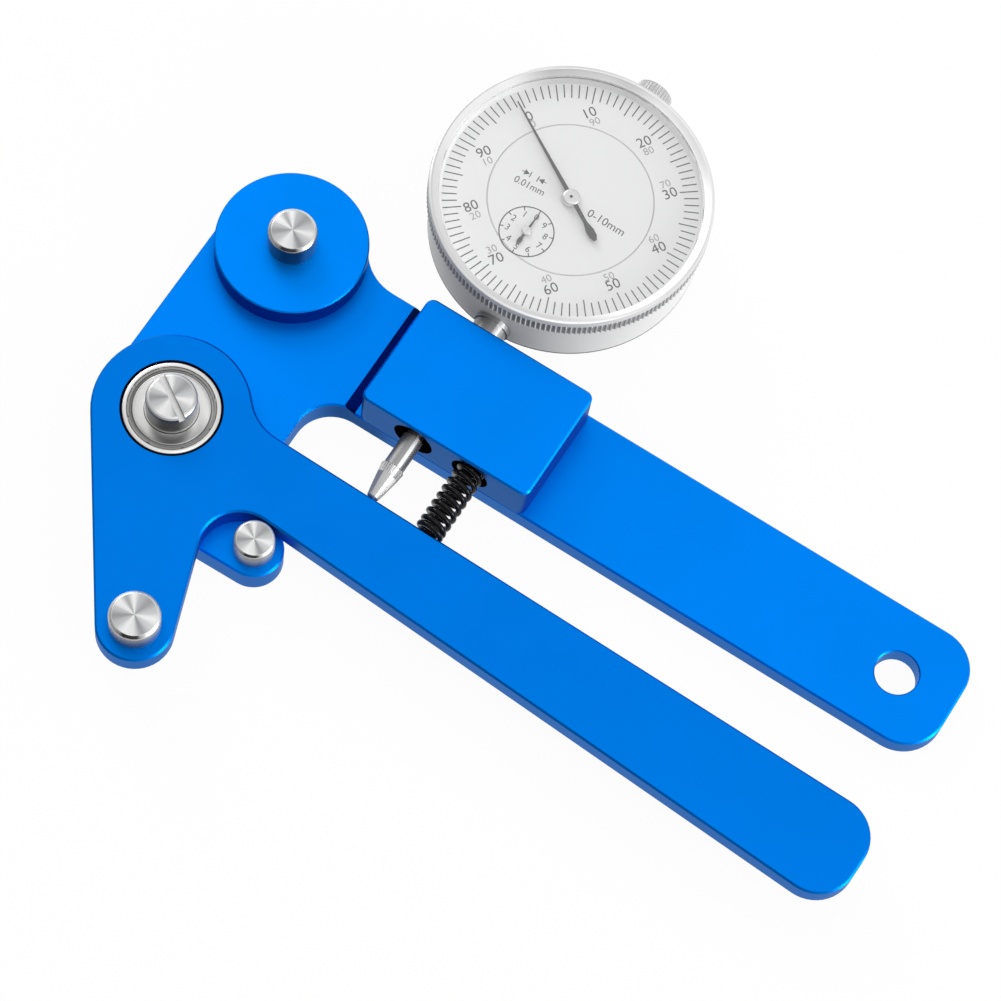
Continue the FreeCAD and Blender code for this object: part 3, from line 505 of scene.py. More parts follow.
def anodised(name, face, wall, bores=(), nook=None):
    """Blue finish with painted shade on its walls; bores are (centre, reach, across) rows of holes that
    stay dark inside as painted black shade. Walls near the point nook take a darker painted shade,
    because they face another piece. What it throws on its neighbours is nearly grey.
    """
    finish = Finish(name, 1.0, 0.4, face, Specular_Tint=(0.55, 0.75, 1.0))
    finish.grain(*BLASTED)
    tree = finish.tree
    masks = use_group(tree, "walls")
    # Painted shade: walls near the nook take the darker arch blue
    if nook is not None:
        wall = blend(tree, near_point(tree, nook, ARCH_SHADE_NEAR, ARCH_SHADE_FAR, 1.0), wall, ARCH_WALL_SHADE)
    # Painted shade on the walls and a painted reflection of the dark wall beside each slope
    finish.paint(masks["Mask"], wall)
    finish.paint(masks["Slope"], SLOPE_PAINTED_REFLECTION)
    # Painted black shade inside the bores
    for centre, reach, across in bores:
        finish.paint(near_axis(tree, centre, reach, across), BORE_PAINTED_SHADE)
    finish.paint(node(tree, "LightPath").outputs["Is Diffuse Ray"], SPILL)
    return finish.done()


# Each piece's wall blue is painted shade, darker on the block and the disc
fixed_blue = anodised("fixed_blue_anodised", (0.0, 0.236, 0.92), PLATE_WALL_SHADE, nook=ARCH_TOP)
disc_blue = anodised("disc_blue_anodised", (0.0, 0.25, 0.95), DISC_WALL_SHADE)
arm_blue = anodised("arm_blue_anodised", (0.0, 0.19, 0.75), PLATE_WALL_SHADE,
                    [(pivot, radius_of("bearing_outer_ring") + BEARING_GAP, ACROSS_Z)])
block_blue = anodised("block_blue_anodised", (0.0, 0.238, 0.92), BLOCK_WALL_SHADE,
                      [(rod, STEM_BORE_REACH, ACROSS_Y),
                       (spot("main_spring"), SPRING_BORE_REACH, ACROSS_Y)])

# %% [markdown]
# ## Turned and ground steel
# A lathe leaves rings so fine that the eye only sees the wedges of light they make. The wedges stand
# still while the work turns, so here they are painted highlights, a tone by direction about the axis,
# set beside fine rings of relief. A rod shows long bars of light for the same reason, so its painted
# highlight bars go round its own axis.


# %% Turned steel, one material for each lathe axis
END_ROUGHNESS = 0.4
END_DEPTH = 0.1 * MM
LATHE_PITCH = 0.35 * MM


def turned_steel(name, centre, level, wall, front, wall_roughness):
    """Bright steel with painted light: painted highlight and shade wedges on the faced end above level, a
    painted shade crescent on the bevel, and walls with painted shade that darkens towards the front.
    """
    finish = Finish(name, 1.0, wall_roughness, wall)
    tree = finish.tree
    up = facing_up(tree)
    flat = maths(tree, "GREATER_THAN", up, 0.99)
    upright = maths(tree, "LESS_THAN", up, 0.35)
    bevel = maths(tree, "COMPARE", up, 0.86, 0.1)
    end = maths(tree, "MULTIPLY", flat, maths(tree, "SUBTRACT", 1.0, below(tree, level)))
    shade = maths(tree, "SUBTRACT", 1.0, round_tone(tree, "front", centre))
    # Painted shade on the walls towards the front
    finish.paint(maths(tree, "MULTIPLY", upright, shade), front)
    # Painted shade crescent and painted highlight round the bevel
    finish.paint(bevel, blend(tree, round_tone(tree, "crescent", centre), grey(0.82), (0.06, 0.06, 0.065)))
    finish.paint(flat, grey(0.72))
    # Painted highlight and shade wedges on the faced end
    finish.paint(end, blend(tree, round_tone(tree, "wedges", centre), (0.30, 0.31, 0.32), grey(0.84)))
    matt = maths(tree, "MULTIPLY", end, END_ROUGHNESS - wall_roughness)
    finish.put("Roughness", maths(tree, "ADD", matt, wall_roughness))
    rings = use_group(tree, "rings", Centre=tuple(centre), Pitch=LATHE_PITCH)
    finish.relief(rings["Height"], 0.003 * MM, 0.5)
    return finish.done()


# front is the colour of the painted shade on the walls towards the front
def turned_post(name, wall=(0.6, 0.6, 0.59), front=grey(0.3), wall_roughness=0.42):
    level = levels(name)[1] - END_DEPTH
    return turned_steel("turned_" + name, spot(name), level, wall, front, wall_roughness)


# The upper post's darker wall and front, and the stud's front, are painted shade and reflection
POST_FINISH = {
    "upper_spoke_post": turned_post("upper_spoke_post", grey(0.5), (0.1, 0.1, 0.11), 0.35),
    "lower_spoke_post": turned_post("lower_spoke_post"),
    "stop_post": turned_post("stop_post"),
    "pivot_stud": turned_post("pivot_stud", front=grey(0.12)),
}

# %% Plain metals, by colour, roughness and grain
GROUND = (4000.0, 150.0, 0.05, 0.04, 0.002 * MM, 0.4)
COARSE = (2500.0, 150.0, 0.05, 0.04, 0.002 * MM, 0.4)
PRESSED = (2500.0, 150.0, 0.05, 0.04, 0.01 * MM, 0.4)
DRAWN = (4000.0, 150.0, 0.0, 0.03, 0.002 * MM, 0.3)
ground_steel = grained("ground_steel", 1.0, 0.3, (0.56, 0.56, 0.55), GROUND)
bearing_steel = grained("bearing_steel", 1.0, 0.38, (0.74, 0.74, 0.73), GROUND)
groove_steel = grained("groove_steel", 1.0, 0.42, (0.30, 0.30, 0.29), COARSE)
knob_metal = grained("knob_metal", 1.0, 0.6, grey(0.62), GROUND)
hub_metal = grained("hub_metal", 1.0, 0.4, grey(0.74), GROUND)
brass = grained("movement_brass", 1.0, 0.3, (0.74, 0.52, 0.22), GROUND)
black_steel = grained("black_oxide_steel", 1.0, 0.35, (0.03, 0.03, 0.032), GROUND)


# %% Rods, with their bars of light, and the shaded shield
def rod_steel(name, dark, bright, roughness):
    """Steel with painted highlight bars: its tone goes round the plunger's axis."""
    finish = Finish(name, 1.0, roughness, dark)
    finish.grain(*DRAWN)
    # Painted highlight bars round the plunger's axis
    finish.paint(round_tone(finish.tree, "bars", rod), bright)
    return finish.done()


plunger_steel = rod_steel("plunger_steel", (0.10, 0.10, 0.105), grey(0.98), 0.5)
tip_steel = rod_steel("tip_steel", grey(0.33), grey(0.98), 0.5)
stem_steel = rod_steel("stem_steel", grey(0.2), grey(0.95), 0.42)
DISH_REACH = 8.6 * MM
SHADE_FROM_PIVOT = np.array([2.1, -3.4, 3.0]) * MM
SHADE_NEAR = 3.6 * MM
SHADE_FAR = 5.4 * MM


def shield_steel():
    """Pressed steel: painted shade with painted light by direction in the band outside its dish, and a
    painted shadow where the stud stands over it.
    """
    finish = Finish("pressed_steel", 1.0, 0.45, (0.72, 0.72, 0.71))
    finish.grain(*PRESSED)
    tree = finish.tree
    # Painted light and shade by direction in the band outside the dish
    band = blend(tree, round_tone(tree, "ridge", pivot), grey(0.05), grey(0.42))
    outside = maths(tree, "SUBTRACT", 1.0, near_axis(tree, pivot, DISH_REACH))
    finish.paint(outside, band)
    # Painted shadow where the stud stands over the shield
    finish.paint(near_point(tree, pivot + SHADE_FROM_PIVOT, SHADE_NEAR, SHADE_FAR, 0.7), grey(0.12))
    return finish.done()


pressed_steel = shield_steel()


# %% Satin aluminium of the gauge
def satin(name, level, wall, wall_share):
    """Fine-turned grey faces; walls are blasted, so they are less metallic by wall_share."""
    finish = Finish(name, 1.0, 0.42, grey(level))
    tree = finish.tree
    noise = finish.grain(3500.0, 120.0, 0.03, 0.03)
    mask = use_group(tree, "walls")["Mask"]
    finish.paint(mask, grey(wall))
    finish.put("Metallic", maths(tree, "SUBTRACT", 1.0, maths(tree, "MULTIPLY", mask, wall_share)))
    rings = use_group(tree, "rings", Centre=tuple(dial), Pitch=0.3 * MM)
    both = maths(tree, "ADD", noise["Height"], maths(tree, "MULTIPLY", rings["Height"], 0.3))
    finish.relief(both, 0.008 * MM, 0.5)
    return finish


def case_finish():
    """Satin, with a dark line along the lower edge of the wall."""
    finish = satin("edged_aluminium", 0.7, 0.75, 0.97)
    finish.paint(below(finish.tree, levels("gauge_case")[0] + CASE_EDGE), grey(0.1))
    return finish.done()


def bezel_finish():
    """Fine-turned rim: its cone, inner wall and ridge carry painted light and shade by direction about
    the dial. The grooves of its knurl carry painted shade: they lie below the smooth band, between its
    seat and its rim.
    """
    finish = satin("bezel_aluminium", 0.66, 0.66, 0.92)
    tree = finish.tree
    rim = radius_of("bezel")
    inside = near_axis(tree, dial, rim - RIDGE_WIDTH)
    cone_painted_light = round_tone(tree, "cone", dial)
    cone = blend(tree, cone_painted_light, grey(0.42), grey(0.98))
    ridge = blend(tree, round_tone(tree, "ridge", dial), grey(0.44), grey(0.95))
    # Painted light on the inner wall under the crystal, by direction
    finish.paint(inside, blend(tree, cone_painted_light, grey(0.62), grey(0.97)))
    # Painted light and shade on the cone and ridge
    turned_part = maths(tree, "LESS_THAN", use_group(tree, "walls")["Mask"], 0.98)
    finish.paint(turned_part, blend(tree, inside, ridge, cone))
    # Painted shade in the knurl's grooves below the smooth band
    between = maths(tree, "SUBTRACT", *(near_axis(tree, dial, rim - depth) for depth in GROOVE_DEPTHS))
    low = below(tree, levels("bezel")[1] - SMOOTH_BAND)
    finish.paint(maths(tree, "MULTIPLY", between, low), grey(0.26))
    return finish.done()


CASE_EDGE = 0.8 * MM
RIDGE_WIDTH = 0.95 * MM
GROOVE_DEPTHS = (0.2 * MM, 0.8 * MM)
SMOOTH_BAND = 1.9 * MM
case_aluminium = satin("case_aluminium", 0.7, 0.75, 0.97).done()
edged_aluminium = case_finish()
bezel_aluminium = bezel_finish()

# %% [markdown]
# ## Dial, ink, crystal and spring
# The dial is a thin plate with a matt off-white coat, and the marks are ink printed on it. The
# crystal is a clear disc. A low Alpha lets light straight through to the dial, where a real
# refracting glass would leave it in shadow unless the render traced caustics. The spring's wire wears
# an oiled black oxide, which hides the metal, so it is a dark coat too.


# %% Dial coat, inks, crystal and spring
PRINTED = (9000.0, 2500.0, 0.12, 0.05, 0.004 * MM, 0.3)
white_dial = grained("dial_coat", 0.0, 0.5, grey(0.80), (7000.0, 90.0, 0.012, 0.05, 0.006 * MM, 0.25),
                     Specular_IOR_Level=0.25)
dark_ink = grained("dark_ink", 0.0, 0.55, grey(0.06), PRINTED)
light_ink = grained("light_ink", 0.0, 0.55, grey(0.33), PRINTED)
faint_ink = grained("faint_ink", 0.0, 0.55, grey(0.5), PRINTED)
pointer_black = grained("pointer_lacquer", 0.0, 0.35, grey(0.035), PRINTED)
crystal_clear = grained("clear_crystal", 0.0, 0.04, (0.95, 0.96, 0.97),
                        (800.0, 60.0, 0.0, 0.0, 0.002 * MM, 0.1), Alpha=0.07)
wire_black = grained("oiled_black_spring", 0.0, 0.2, (0.004, 0.004, 0.005),
                     (2500.0, 300.0, 0.4, 0.03, 0.002 * MM, 0.3), Specular_IOR_Level=0.2)


# %% Give the CAD nodes their finishes
def dress(material, *names):
    """Put one material on each of these CAD nodes."""
    for name in names:
        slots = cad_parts[name].data.materials
        slots.clear()
        slots.append(material)
    print("%-24s on %s" % (material.name, ", ".join(names)))


for post_name, post_finish in POST_FINISH.items():
    dress(post_finish, post_name)
for finish_and_nodes in (
    (fixed_blue, "base_plate"), (disc_blue, "raised_disc"), (block_blue, "gauge_block"),
    (arm_blue, "moving_arm"), (edged_aluminium, "gauge_case"), (case_aluminium, "case_back"),
    (bezel_aluminium, "bezel"), (knob_metal, "lifting_knob"), (stem_steel, "gauge_stem"),
    (plunger_steel, "spindle", "contact_point"), (black_steel, "block_screws", "stem_clamp_screw"),
    (bearing_steel, "bearing_inner_ring", "bearing_outer_ring", "bearing_balls"),
    (pressed_steel, "bearing_cage", "bearing_shields"),
    (ground_steel, "pivot_spacer", "case_screws", "upper_bushing", "guide_pin", "guide_rail", "hairspring"),
    (brass, "movement_plate", "movement_bridge", "rack_pinion", "reduction_wheel", "centre_pinion",
     "take_up_wheel"),
    (white_dial, "dial_base", "inner_dial", "dial_ring"), (crystal_clear, "crystal"),
    (pointer_black, "large_pointer", "small_pointer"), (wire_black, "main_spring"),
):
    dress(*finish_and_nodes)

# %% [markdown]
# ## Meshes from formulas
# Most new pieces are a grid of points from a formula: a profile turned about an axis, or a circle
# carried along a path. The grid's neighbours make its faces, and a weld closes the poles.


# %% Mesh helpers
WELD = 1e-7


def ring_faces(rows, columns, loop):
    """Quads of a grid whose columns close; with loop, the last row joins the first as well."""
    row, column = np.meshgrid(np.arange(rows if loop else rows - 1), np.arange(columns), indexing="ij")
    next_row = (row + 1) % rows
    next_column = (column + 1) % columns
    corners = (row * columns + column, row * columns + next_column,
               next_row * columns + next_column, next_row * columns + column)
    return np.stack(corners, axis=-1).reshape(-1, 4)


def add_piece(name, mesh, material, body, stands_for=(), sharp=32.0):
    """Weld and smooth a mesh, put the finished piece on its body and hide what it stands for."""
    mesh.name = name
    work = bmesh.new()
    work.from_mesh(mesh)
    bmesh.ops.remove_doubles(work, verts=work.verts, dist=WELD)
    bmesh.ops.recalc_face_normals(work, faces=work.faces)
    work.to_mesh(mesh)
    work.free()
    mesh.shade_smooth()
    mesh.set_sharp_from_angle(angle=math.radians(sharp))
    mesh.materials.clear()
    mesh.materials.append(material)
    piece = new_object(name, mesh)
    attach(piece, body)
    if stands_for:
        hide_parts(*stands_for)
    print("%-20s %6d faces on %s" % (name, len(mesh.polygons), body))
    return piece


def grid_mesh(points, loop):
    mesh = bpy.data.meshes.new("grid")
    rows, columns, _ = points.shape
    mesh.from_pydata(points.reshape(-1, 3), [], ring_faces(rows, columns, loop))
    return mesh


def joined(meshes):
    """One mesh that holds several separate closed shells."""
    work = bmesh.new()
    for mesh in meshes:
        work.from_mesh(mesh)
    whole = bpy.data.meshes.new("joined")
    work.to_mesh(whole)
    work.free()
    return whole


def turned(profile, columns, centre, axis="z", loop=False, shape=None):
    """Profile turned about an axis through centre. Point (row, column) lies at radius r(row) in the
    direction of the column's angle and at height h(row) along the axis; shape may change r for each
    height and angle.
    """
    profile = np.array(profile, float)
    angle = np.linspace(0, TURN, columns, endpoint=False)[None, :]
    radius = np.repeat(profile[:, :1], columns, axis=1)
    height = np.repeat(profile[:, 1:2], columns, axis=1)
    if shape is not None:
        radius = shape(radius, height, angle)
    across = radius * np.cos(angle)
    along = radius * np.sin(angle)
    if axis == "z":
        points = (centre[0] + across, centre[1] + along, height)
    else:
        points = (centre[0] + across, height, centre[2] + along)
    return grid_mesh(np.stack(points, axis=-1), loop)


def zigzag(angle, count):
    """Wave with count teeth in a turn, from 0.5 down to 0 and back."""
    return np.abs((angle * count / TURN) % 1.0 - 0.5)


def knurled(ribs, depth, low, high, run_out):
    """Straight knurl: narrow ribs with wide grooves, faded out over run_out at both ends."""
    def shape(radius, height, angle):
        wave = np.clip(zigzag(angle, ribs) * 3, 0, 1)
        inside = np.clip((height - low) / run_out + 1, 0, 1) * np.clip((high - height) / run_out + 1, 0, 1)
        near_rim = radius > radius.max() - depth
        return radius - depth * wave * inside * near_rim
    return shape


# %% [markdown]
# ## Posts
# Each post is turned from bar: a plain wall, a broad bevel that is broken at both edges, and a flat
# faced end. The bevel keeps the spoke from catching as it slides on, and it throws a dark crescent
# that makes a small cylinder read as round; the finish paints a crescent of shade onto it as well.

# %% Posts
POST_SHANK = 3.0 * MM
# Bevel width and body of each post
POSTS = {
    "upper_spoke_post": (0.9 * MM, "base"), "stop_post": (0.7 * MM, "base"),
    "lower_spoke_post": (0.9 * MM, "arm"),
}
# Rows of (in from the wall, down from the end), as shares of the bevel's width
BEVEL_LINE = ((0.0, 0.98), (0.06, 0.72), (0.22, 0.46), (0.78, 0.10), (0.94, 0.01), (1.0, 0.0))


def make_post(name, bevel, body):
    low, top = levels(name)
    reach = radius_of(name)
    foot = levels("raised_disc")[0] if name == "stop_post" else arm_top
    edge = [(reach - inward * bevel, top - down * bevel) for inward, down in BEVEL_LINE]
    profile = [(0, low), (POST_SHANK, low), (POST_SHANK, foot), (reach, foot)] + edge + [(0, top)]
    mesh = turned(profile, 96, spot(name))
    add_piece(name + "_turned", mesh, POST_FINISH[name], body, [name], 40)


for post_name, post_row in POSTS.items():
    make_post(post_name, *post_row)

# %% [markdown]
# ## Bezel
# The bezel turns by hand to bring zero under the pointer, so its rim is knurled for grip: straight
# ribs along the axis. It could be a cylinder with a bump map, but the ribs show in outline, so they
# are real geometry. The inside is a cone that leads the eye down to the dial.

# %% Bezel
BEZEL_RIBS = 176
RIB_DEPTH = 0.42 * MM
RIB_TOP = 2.1 * MM
RIB_COLUMNS = 6


def make_bezel():
    rim = radius_of("bezel")
    foot, top = levels("bezel")
    glass = radius_of("crystal")
    ring = radius_of("dial_ring")
    seat, glass_top = levels("crystal")
    profile = [
        (glass + 0.18 * MM, foot), (rim - 1.1 * MM, foot), (rim, foot + 0.02 * MM),
        (rim, foot + 0.5 * MM), (rim, foot + 2.0 * MM), (rim, top - RIB_TOP),
        (rim - RIB_DEPTH, top - RIB_TOP + 0.12 * MM), (rim - RIB_DEPTH, top - RIB_TOP + 0.22 * MM),
        (rim - 0.06 * MM, top - RIB_TOP + 0.4 * MM), (rim - 0.04 * MM, top - 0.62 * MM),
        (rim - 0.2 * MM, top - 0.15 * MM), (rim - 0.5 * MM, top - 0.02 * MM), (rim - 0.8 * MM, top),
        (rim - 0.95 * MM, top - 0.05 * MM), (glass + 0.25 * MM, glass_top + 0.05 * MM),
        (glass, glass_top), (glass, seat), (glass - 0.3 * MM, seat),
        (ring - 0.3 * MM, dial_top + 0.9 * MM), (ring - 0.55 * MM, dial_top), (ring, dial_top),
        (ring, dial_top - 0.5 * MM), (glass + 0.18 * MM, dial_top - 0.5 * MM),
    ]
    ribs = knurled(BEZEL_RIBS, RIB_DEPTH - 0.01 * MM, foot, top - RIB_TOP, 0.08 * MM)
    mesh = turned(profile, BEZEL_RIBS * RIB_COLUMNS, dial, loop=True, shape=ribs)
    add_piece("bezel_knurled", mesh, bezel_aluminium, "bezel", ["bezel"], 25)


make_bezel()

# %% [markdown]
# ## Lifting knob
# The knob on top of the plunger lifts the contact point by hand. It has the same straight knurl,
# turned about the plunger's own axis.

# %% Lifting knob
KNOB_RIBS = 36


def make_knob():
    rim = radius_of("lifting_knob")
    foot, top = levels("lifting_knob", 1)
    bore = 2.0 * MM
    cap = levels("spindle", 1)[1]
    profile = [
        (0, cap), (bore, cap), (bore, foot), (rim - 0.55 * MM, foot), (rim - 0.1 * MM, foot + 0.35 * MM),
        (rim, foot + 0.5 * MM), (rim, (foot + top) / 2), (rim, top - 0.5 * MM),
        (rim - 0.1 * MM, top - 0.35 * MM), (rim - 0.6 * MM, top), (0, top),
    ]
    ribs = knurled(KNOB_RIBS, 0.3 * MM, foot + 0.5 * MM, top - 0.5 * MM, 0.2 * MM)
    mesh = turned(profile, KNOB_RIBS * RIB_COLUMNS, rod, "y", shape=ribs)
    add_piece("knob_knurled", mesh, knob_metal, "spindle", ["lifting_knob"])


make_knob()

# %% [markdown]
# ## Contact point
# The hard tip screws into the plunger. Its collar is knurled so that fingers can turn it, and eight
# flats run down the cone. Each flat is a plane: the radius is the smaller of the turned shape and
# the distance to that plane, which draws the scallops where they meet the collar.

# %% Contact point
FLATS = 8
FLAT_AT_TIP = 1.3 * MM
FLAT_LEAN = 0.16
FLATS_END = 7.6 * MM
NOSE_R = 1.48 * MM
CONE_START = 0.9 * MM
CONE_LENGTH = 5.6 * MM
COLLAR_FOOT = 6.8 * MM
COLLAR_RIBS = 24


def make_contact():
    """Each flat stands FLAT_AT_TIP from the axis at the tip and leans outwards by FLAT_LEAN."""
    collar = radius_of("contact_point")
    tip, top = levels("contact_point", 1)
    shank = 2.45 * MM
    quarter = math.pi / 2 * np.linspace(0, 1, 6)
    rounded = [(NOSE_R * math.sin(a), tip + NOSE_R * (1 - math.cos(a)) * 0.6) for a in quarter]
    swell = [(NOSE_R + (collar - 0.1 * MM - NOSE_R) * k, tip + CONE_START + CONE_LENGTH * k)
             for k in np.linspace(0.05, 1, 12)]
    profile = rounded + swell + [
        (collar, tip + COLLAR_FOOT), (collar, top - 0.4 * MM), (collar - 0.12 * MM, top - 0.25 * MM),
        (shank, top - 0.05 * MM), (shank, top), (0, top),
    ]

    def shape(radius, height, angle):
        flat = FLAT_AT_TIP + FLAT_LEAN * (height - tip)
        lean = (angle + math.pi / FLATS) % (TURN / FLATS) - math.pi / FLATS
        faceted = np.minimum(radius, flat / np.cos(lean))
        wave = zigzag(angle, COLLAR_RIBS) * 2
        on_collar = (radius > collar - 0.05 * MM) & (height > tip + COLLAR_FOOT - 0.2 * MM)
        return np.where(height < tip + FLATS_END, faceted, radius) - 0.2 * MM * wave * on_collar

    mesh = turned(profile, COLLAR_RIBS * 8, rod, "y", shape=shape)
    add_piece("contact_fluted", mesh, tip_steel, "spindle", ["contact_point"], 20)


make_contact()

# %% [markdown]
# ## Main spring
# Round wire wound into a helix: a circle carried along a screw line. The last turn against the lever
# is closed, so its pitch is one wire.

# %% Main spring
WIRE = 1.35 * MM
SPRING_TURNS = 15
TURN_STEPS = 28
WIRE_SIDES = 10


def make_spring():
    """Point = helix centre + wire radius times (radial part, part along the axis)."""
    foot, seat = levels("main_spring", 1)
    centre = spot("main_spring")
    reach = radius_of("main_spring") - WIRE / 2
    steps = SPRING_TURNS * TURN_STEPS + 1
    turn = np.linspace(0, SPRING_TURNS, steps)
    free = (seat - foot - WIRE * 2) / (SPRING_TURNS - 1)
    rise = foot + WIRE / 2 + np.where(turn < 1, turn * WIRE, WIRE + (turn - 1) * free)
    around = (turn * TURN)[:, None]
    side = np.linspace(0, TURN, WIRE_SIDES, endpoint=False)[None, :]
    radius = reach + WIRE / 2 * np.cos(side)
    height = rise[:, None] + WIRE / 2 * np.sin(side)
    across = centre[0] + radius * np.cos(around)
    points = np.stack([across, height, centre[2] + radius * np.sin(around)], axis=-1)
    ends = np.repeat(points[[0, -1]].mean(axis=1, keepdims=True), WIRE_SIDES, axis=1)
    mesh = grid_mesh(np.concatenate([ends[:1], points, ends[1:]]), False)
    piece = add_piece("spring_wire", mesh, wire_black, "base", ["main_spring"], 60)
    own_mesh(piece)


make_spring()

# %% [markdown]
# ## Ball bearing face
# Seen from above, the bearing is a ground outer ring, a retaining ring snapped into a groove, and a
# pressed shield that dishes down towards the stud. Each one is a profile turned about the pivot.

# %% Bearing outer ring, retaining ring and shields
BALL_CIRCLE = 7.6 * MM
RACE_R = 2.02 * MM
RACE_HALF_ANGLE = 0.56
NOTCHES = 8
NOTCH_START = math.radians(1.5)
SHIELD_SHEET = 0.22 * MM
SHIELD_DEPTH = 0.45 * MM


def make_bearing():
    rim = radius_of("bearing_outer_ring")
    foot, top = levels("bearing_outer_ring")
    inner = 9.3 * MM
    race = [(BALL_CIRCLE + RACE_R * math.cos(a), (foot + top) / 2 + RACE_R * math.sin(a))
            for a in np.linspace(-RACE_HALF_ANGLE, RACE_HALF_ANGLE, 9)]
    profile = [
        (inner, foot), (rim - 0.3 * MM, foot), (rim, foot + 0.3 * MM), (rim, top - 0.35 * MM),
        (rim - 0.1 * MM, top - 0.12 * MM), (rim - 0.35 * MM, top), (rim - 0.9 * MM, top),
        (rim - 1.0 * MM, top - 0.08 * MM), (rim - 1.0 * MM, top - 0.75 * MM), (inner, top - 0.75 * MM),
    ] + race[::-1]
    ring = turned(profile, 96, pivot, loop=True)
    add_piece("bearing_ring", ring, bearing_steel, "arm", ["bearing_outer_ring"])

    snap_r = rim - 1.07 * MM
    wire = 0.28 * MM
    notch_at = NOTCH_START + TURN / NOTCHES * np.arange(NOTCHES)

    def notched(radius, height, angle):
        gap = np.min(np.abs((angle[..., None] - notch_at + math.pi) % TURN - math.pi), axis=-1)
        return np.where((gap < 0.03) & (radius > snap_r - 0.3 * MM), radius - 0.25 * MM, radius)

    section = [(snap_r - 0.62 * MM, 0), (snap_r, 0), (snap_r, wire), (snap_r - 0.1 * MM, wire + 0.08 * MM),
               (snap_r - 0.52 * MM, wire + 0.08 * MM), (snap_r - 0.62 * MM, wire)]
    lift = top - 0.5 * MM
    snap = turned(np.array(section) + [0, lift], 240, pivot, loop=True, shape=notched)
    add_piece("retaining_ring", snap, groove_steel, "arm")

    def shield(level, up):
        upper = [(9.28, -0.1), (9.05, -0.16), (8.9, -0.12), (8.75, 0.06), (8.55, 0.12), (8.35, 0.04),
                 (8.15, -0.04), (6.3, -0.06), (6.17, -0.02)]
        line = [(r * MM, level + up * h * MM) for r, h in upper]
        under = [(r, h - up * SHIELD_SHEET) for r, h in reversed(line)]
        return turned(line + under, 96, pivot, loop=True)

    covers = joined([shield(top - SHIELD_DEPTH, 1), shield(foot + SHIELD_DEPTH, -1)])
    add_piece("bearing_covers", covers, pressed_steel, "arm", ["bearing_shields"])


make_bearing()

# %% [markdown]
# ## Dial print
# The scale has a hundred ticks, every fifth one longer, with numbers that run clockwise and smaller
# grey ones that run back. Ink has hardly any thickness, yet a closed sliver of mesh keeps
# the print crisp at any distance and follows the bezel when it turns.

# %% Print helpers
INK = 0.02 * MM
ZERO_AT = math.radians(146.2)


def print_frame(up_angle):
    """Unit vectors of a print whose up direction is up_angle: (to the right, up)."""
    up = np.array([math.cos(up_angle), math.sin(up_angle)])
    return np.array([up[1], -up[0]]), up


def bars(centre, angles, inner, outer, width):
    """Radial bars as closed boxes. Corner = centre + radius along the bar + half a width across it."""
    angles = np.reshape(angles, (-1, 1, 1))
    inner = np.reshape(inner, (-1, 1, 1))
    far = np.array([0, 1, 1, 0])
    side = np.array([-0.5, -0.5, 0.5, 0.5]) * width
    level = np.array([[dial_top], [dial_top + INK]])
    reach = inner + (outer - inner) * far
    x = centre[0] + reach * np.cos(angles) - side * np.sin(angles)
    y = centre[1] + reach * np.sin(angles) + side * np.cos(angles)
    points = np.stack(np.broadcast_arrays(x, y, level), axis=-1).reshape(-1, 3)
    box = np.array([[0, 3, 2, 1], [4, 5, 6, 7], [0, 1, 5, 4], [1, 2, 6, 5], [2, 3, 7, 6], [3, 0, 4, 7]])
    faces = (box[None] + 8 * np.arange(len(angles))[:, None, None]).reshape(-1, 4)
    mesh = bpy.data.meshes.new("bars")
    mesh.from_pydata(points, [], faces)
    return mesh


def circle_line(centre, radius, width):
    """Thin flat ring of ink."""
    inner, outer = radius - width / 2, radius + width / 2
    section = [(inner, dial_top), (outer, dial_top), (outer, dial_top + INK), (inner, dial_top + INK)]
    return turned(section, 160, centre, loop=True)


def word(text, cap, middle, up_angle, width=None):
    """Text as a closed mesh: centred on a point of the dial, cap metres tall, its top towards up_angle.
    A width stretches it sideways to that length.
    """
    curve = bpy.data.curves.new("word", "FONT")
    curve.body = text
    curve.extrude = 0.1
    curve.resolution_u = 3
    holder = bpy.data.objects.new("word", curve)
    mesh = bpy.data.meshes.new_from_object(holder)
    bpy.data.objects.remove(holder)
    flat = np.zeros(len(mesh.vertices) * 3, np.float32)
    mesh.vertices.foreach_get("co", flat)
    points = flat.reshape(-1, 3).astype(float)
    low = points.min(axis=0)
    high = points.max(axis=0)
    points = (points - (low + high) / 2) * cap / (high[1] - low[1])
    if width:
        points[:, 0] *= width / np.ptp(points[:, 0])
    right, up = print_frame(up_angle)
    placed = np.zeros_like(points)
    placed[:, :2] = np.array(middle[:2]) + points[:, :1] * right + points[:, 1:2] * up
    placed[:, 2] = dial_top + np.where(points[:, 2] > 0, INK, 0)
    mesh.vertices.foreach_set("co", placed.astype(np.float32).ravel())
    return mesh


def prism(outline, low, high):
    """Flat outline given a thickness: two caps and a wall round them."""
    outline = np.array(outline, float)
    count = len(outline)
    ends = [np.column_stack([outline, np.full(count, level)]) for level in (low, high)]
    step = np.arange(count)
    wall = np.column_stack([step, (step + 1) % count, (step + 1) % count + count, step + count])
    faces = [step[::-1].tolist(), (step + count).tolist()] + wall.tolist()
    mesh = bpy.data.meshes.new("prism")
    mesh.from_pydata(np.concatenate(ends), [], faces)
    return mesh


# %% Scale that turns with the bezel
TICKS = 100
TICK_WIDTH = 0.27 * MM
OUTER_R = 29.1 * MM
SHORT_TICK_R = 25.75 * MM
LONG_TICK_R = 24.9 * MM
NUMBER_R = 22.7 * MM
NUMBER_CAP = 2.45 * MM
GREY_CAP = 1.8 * MM


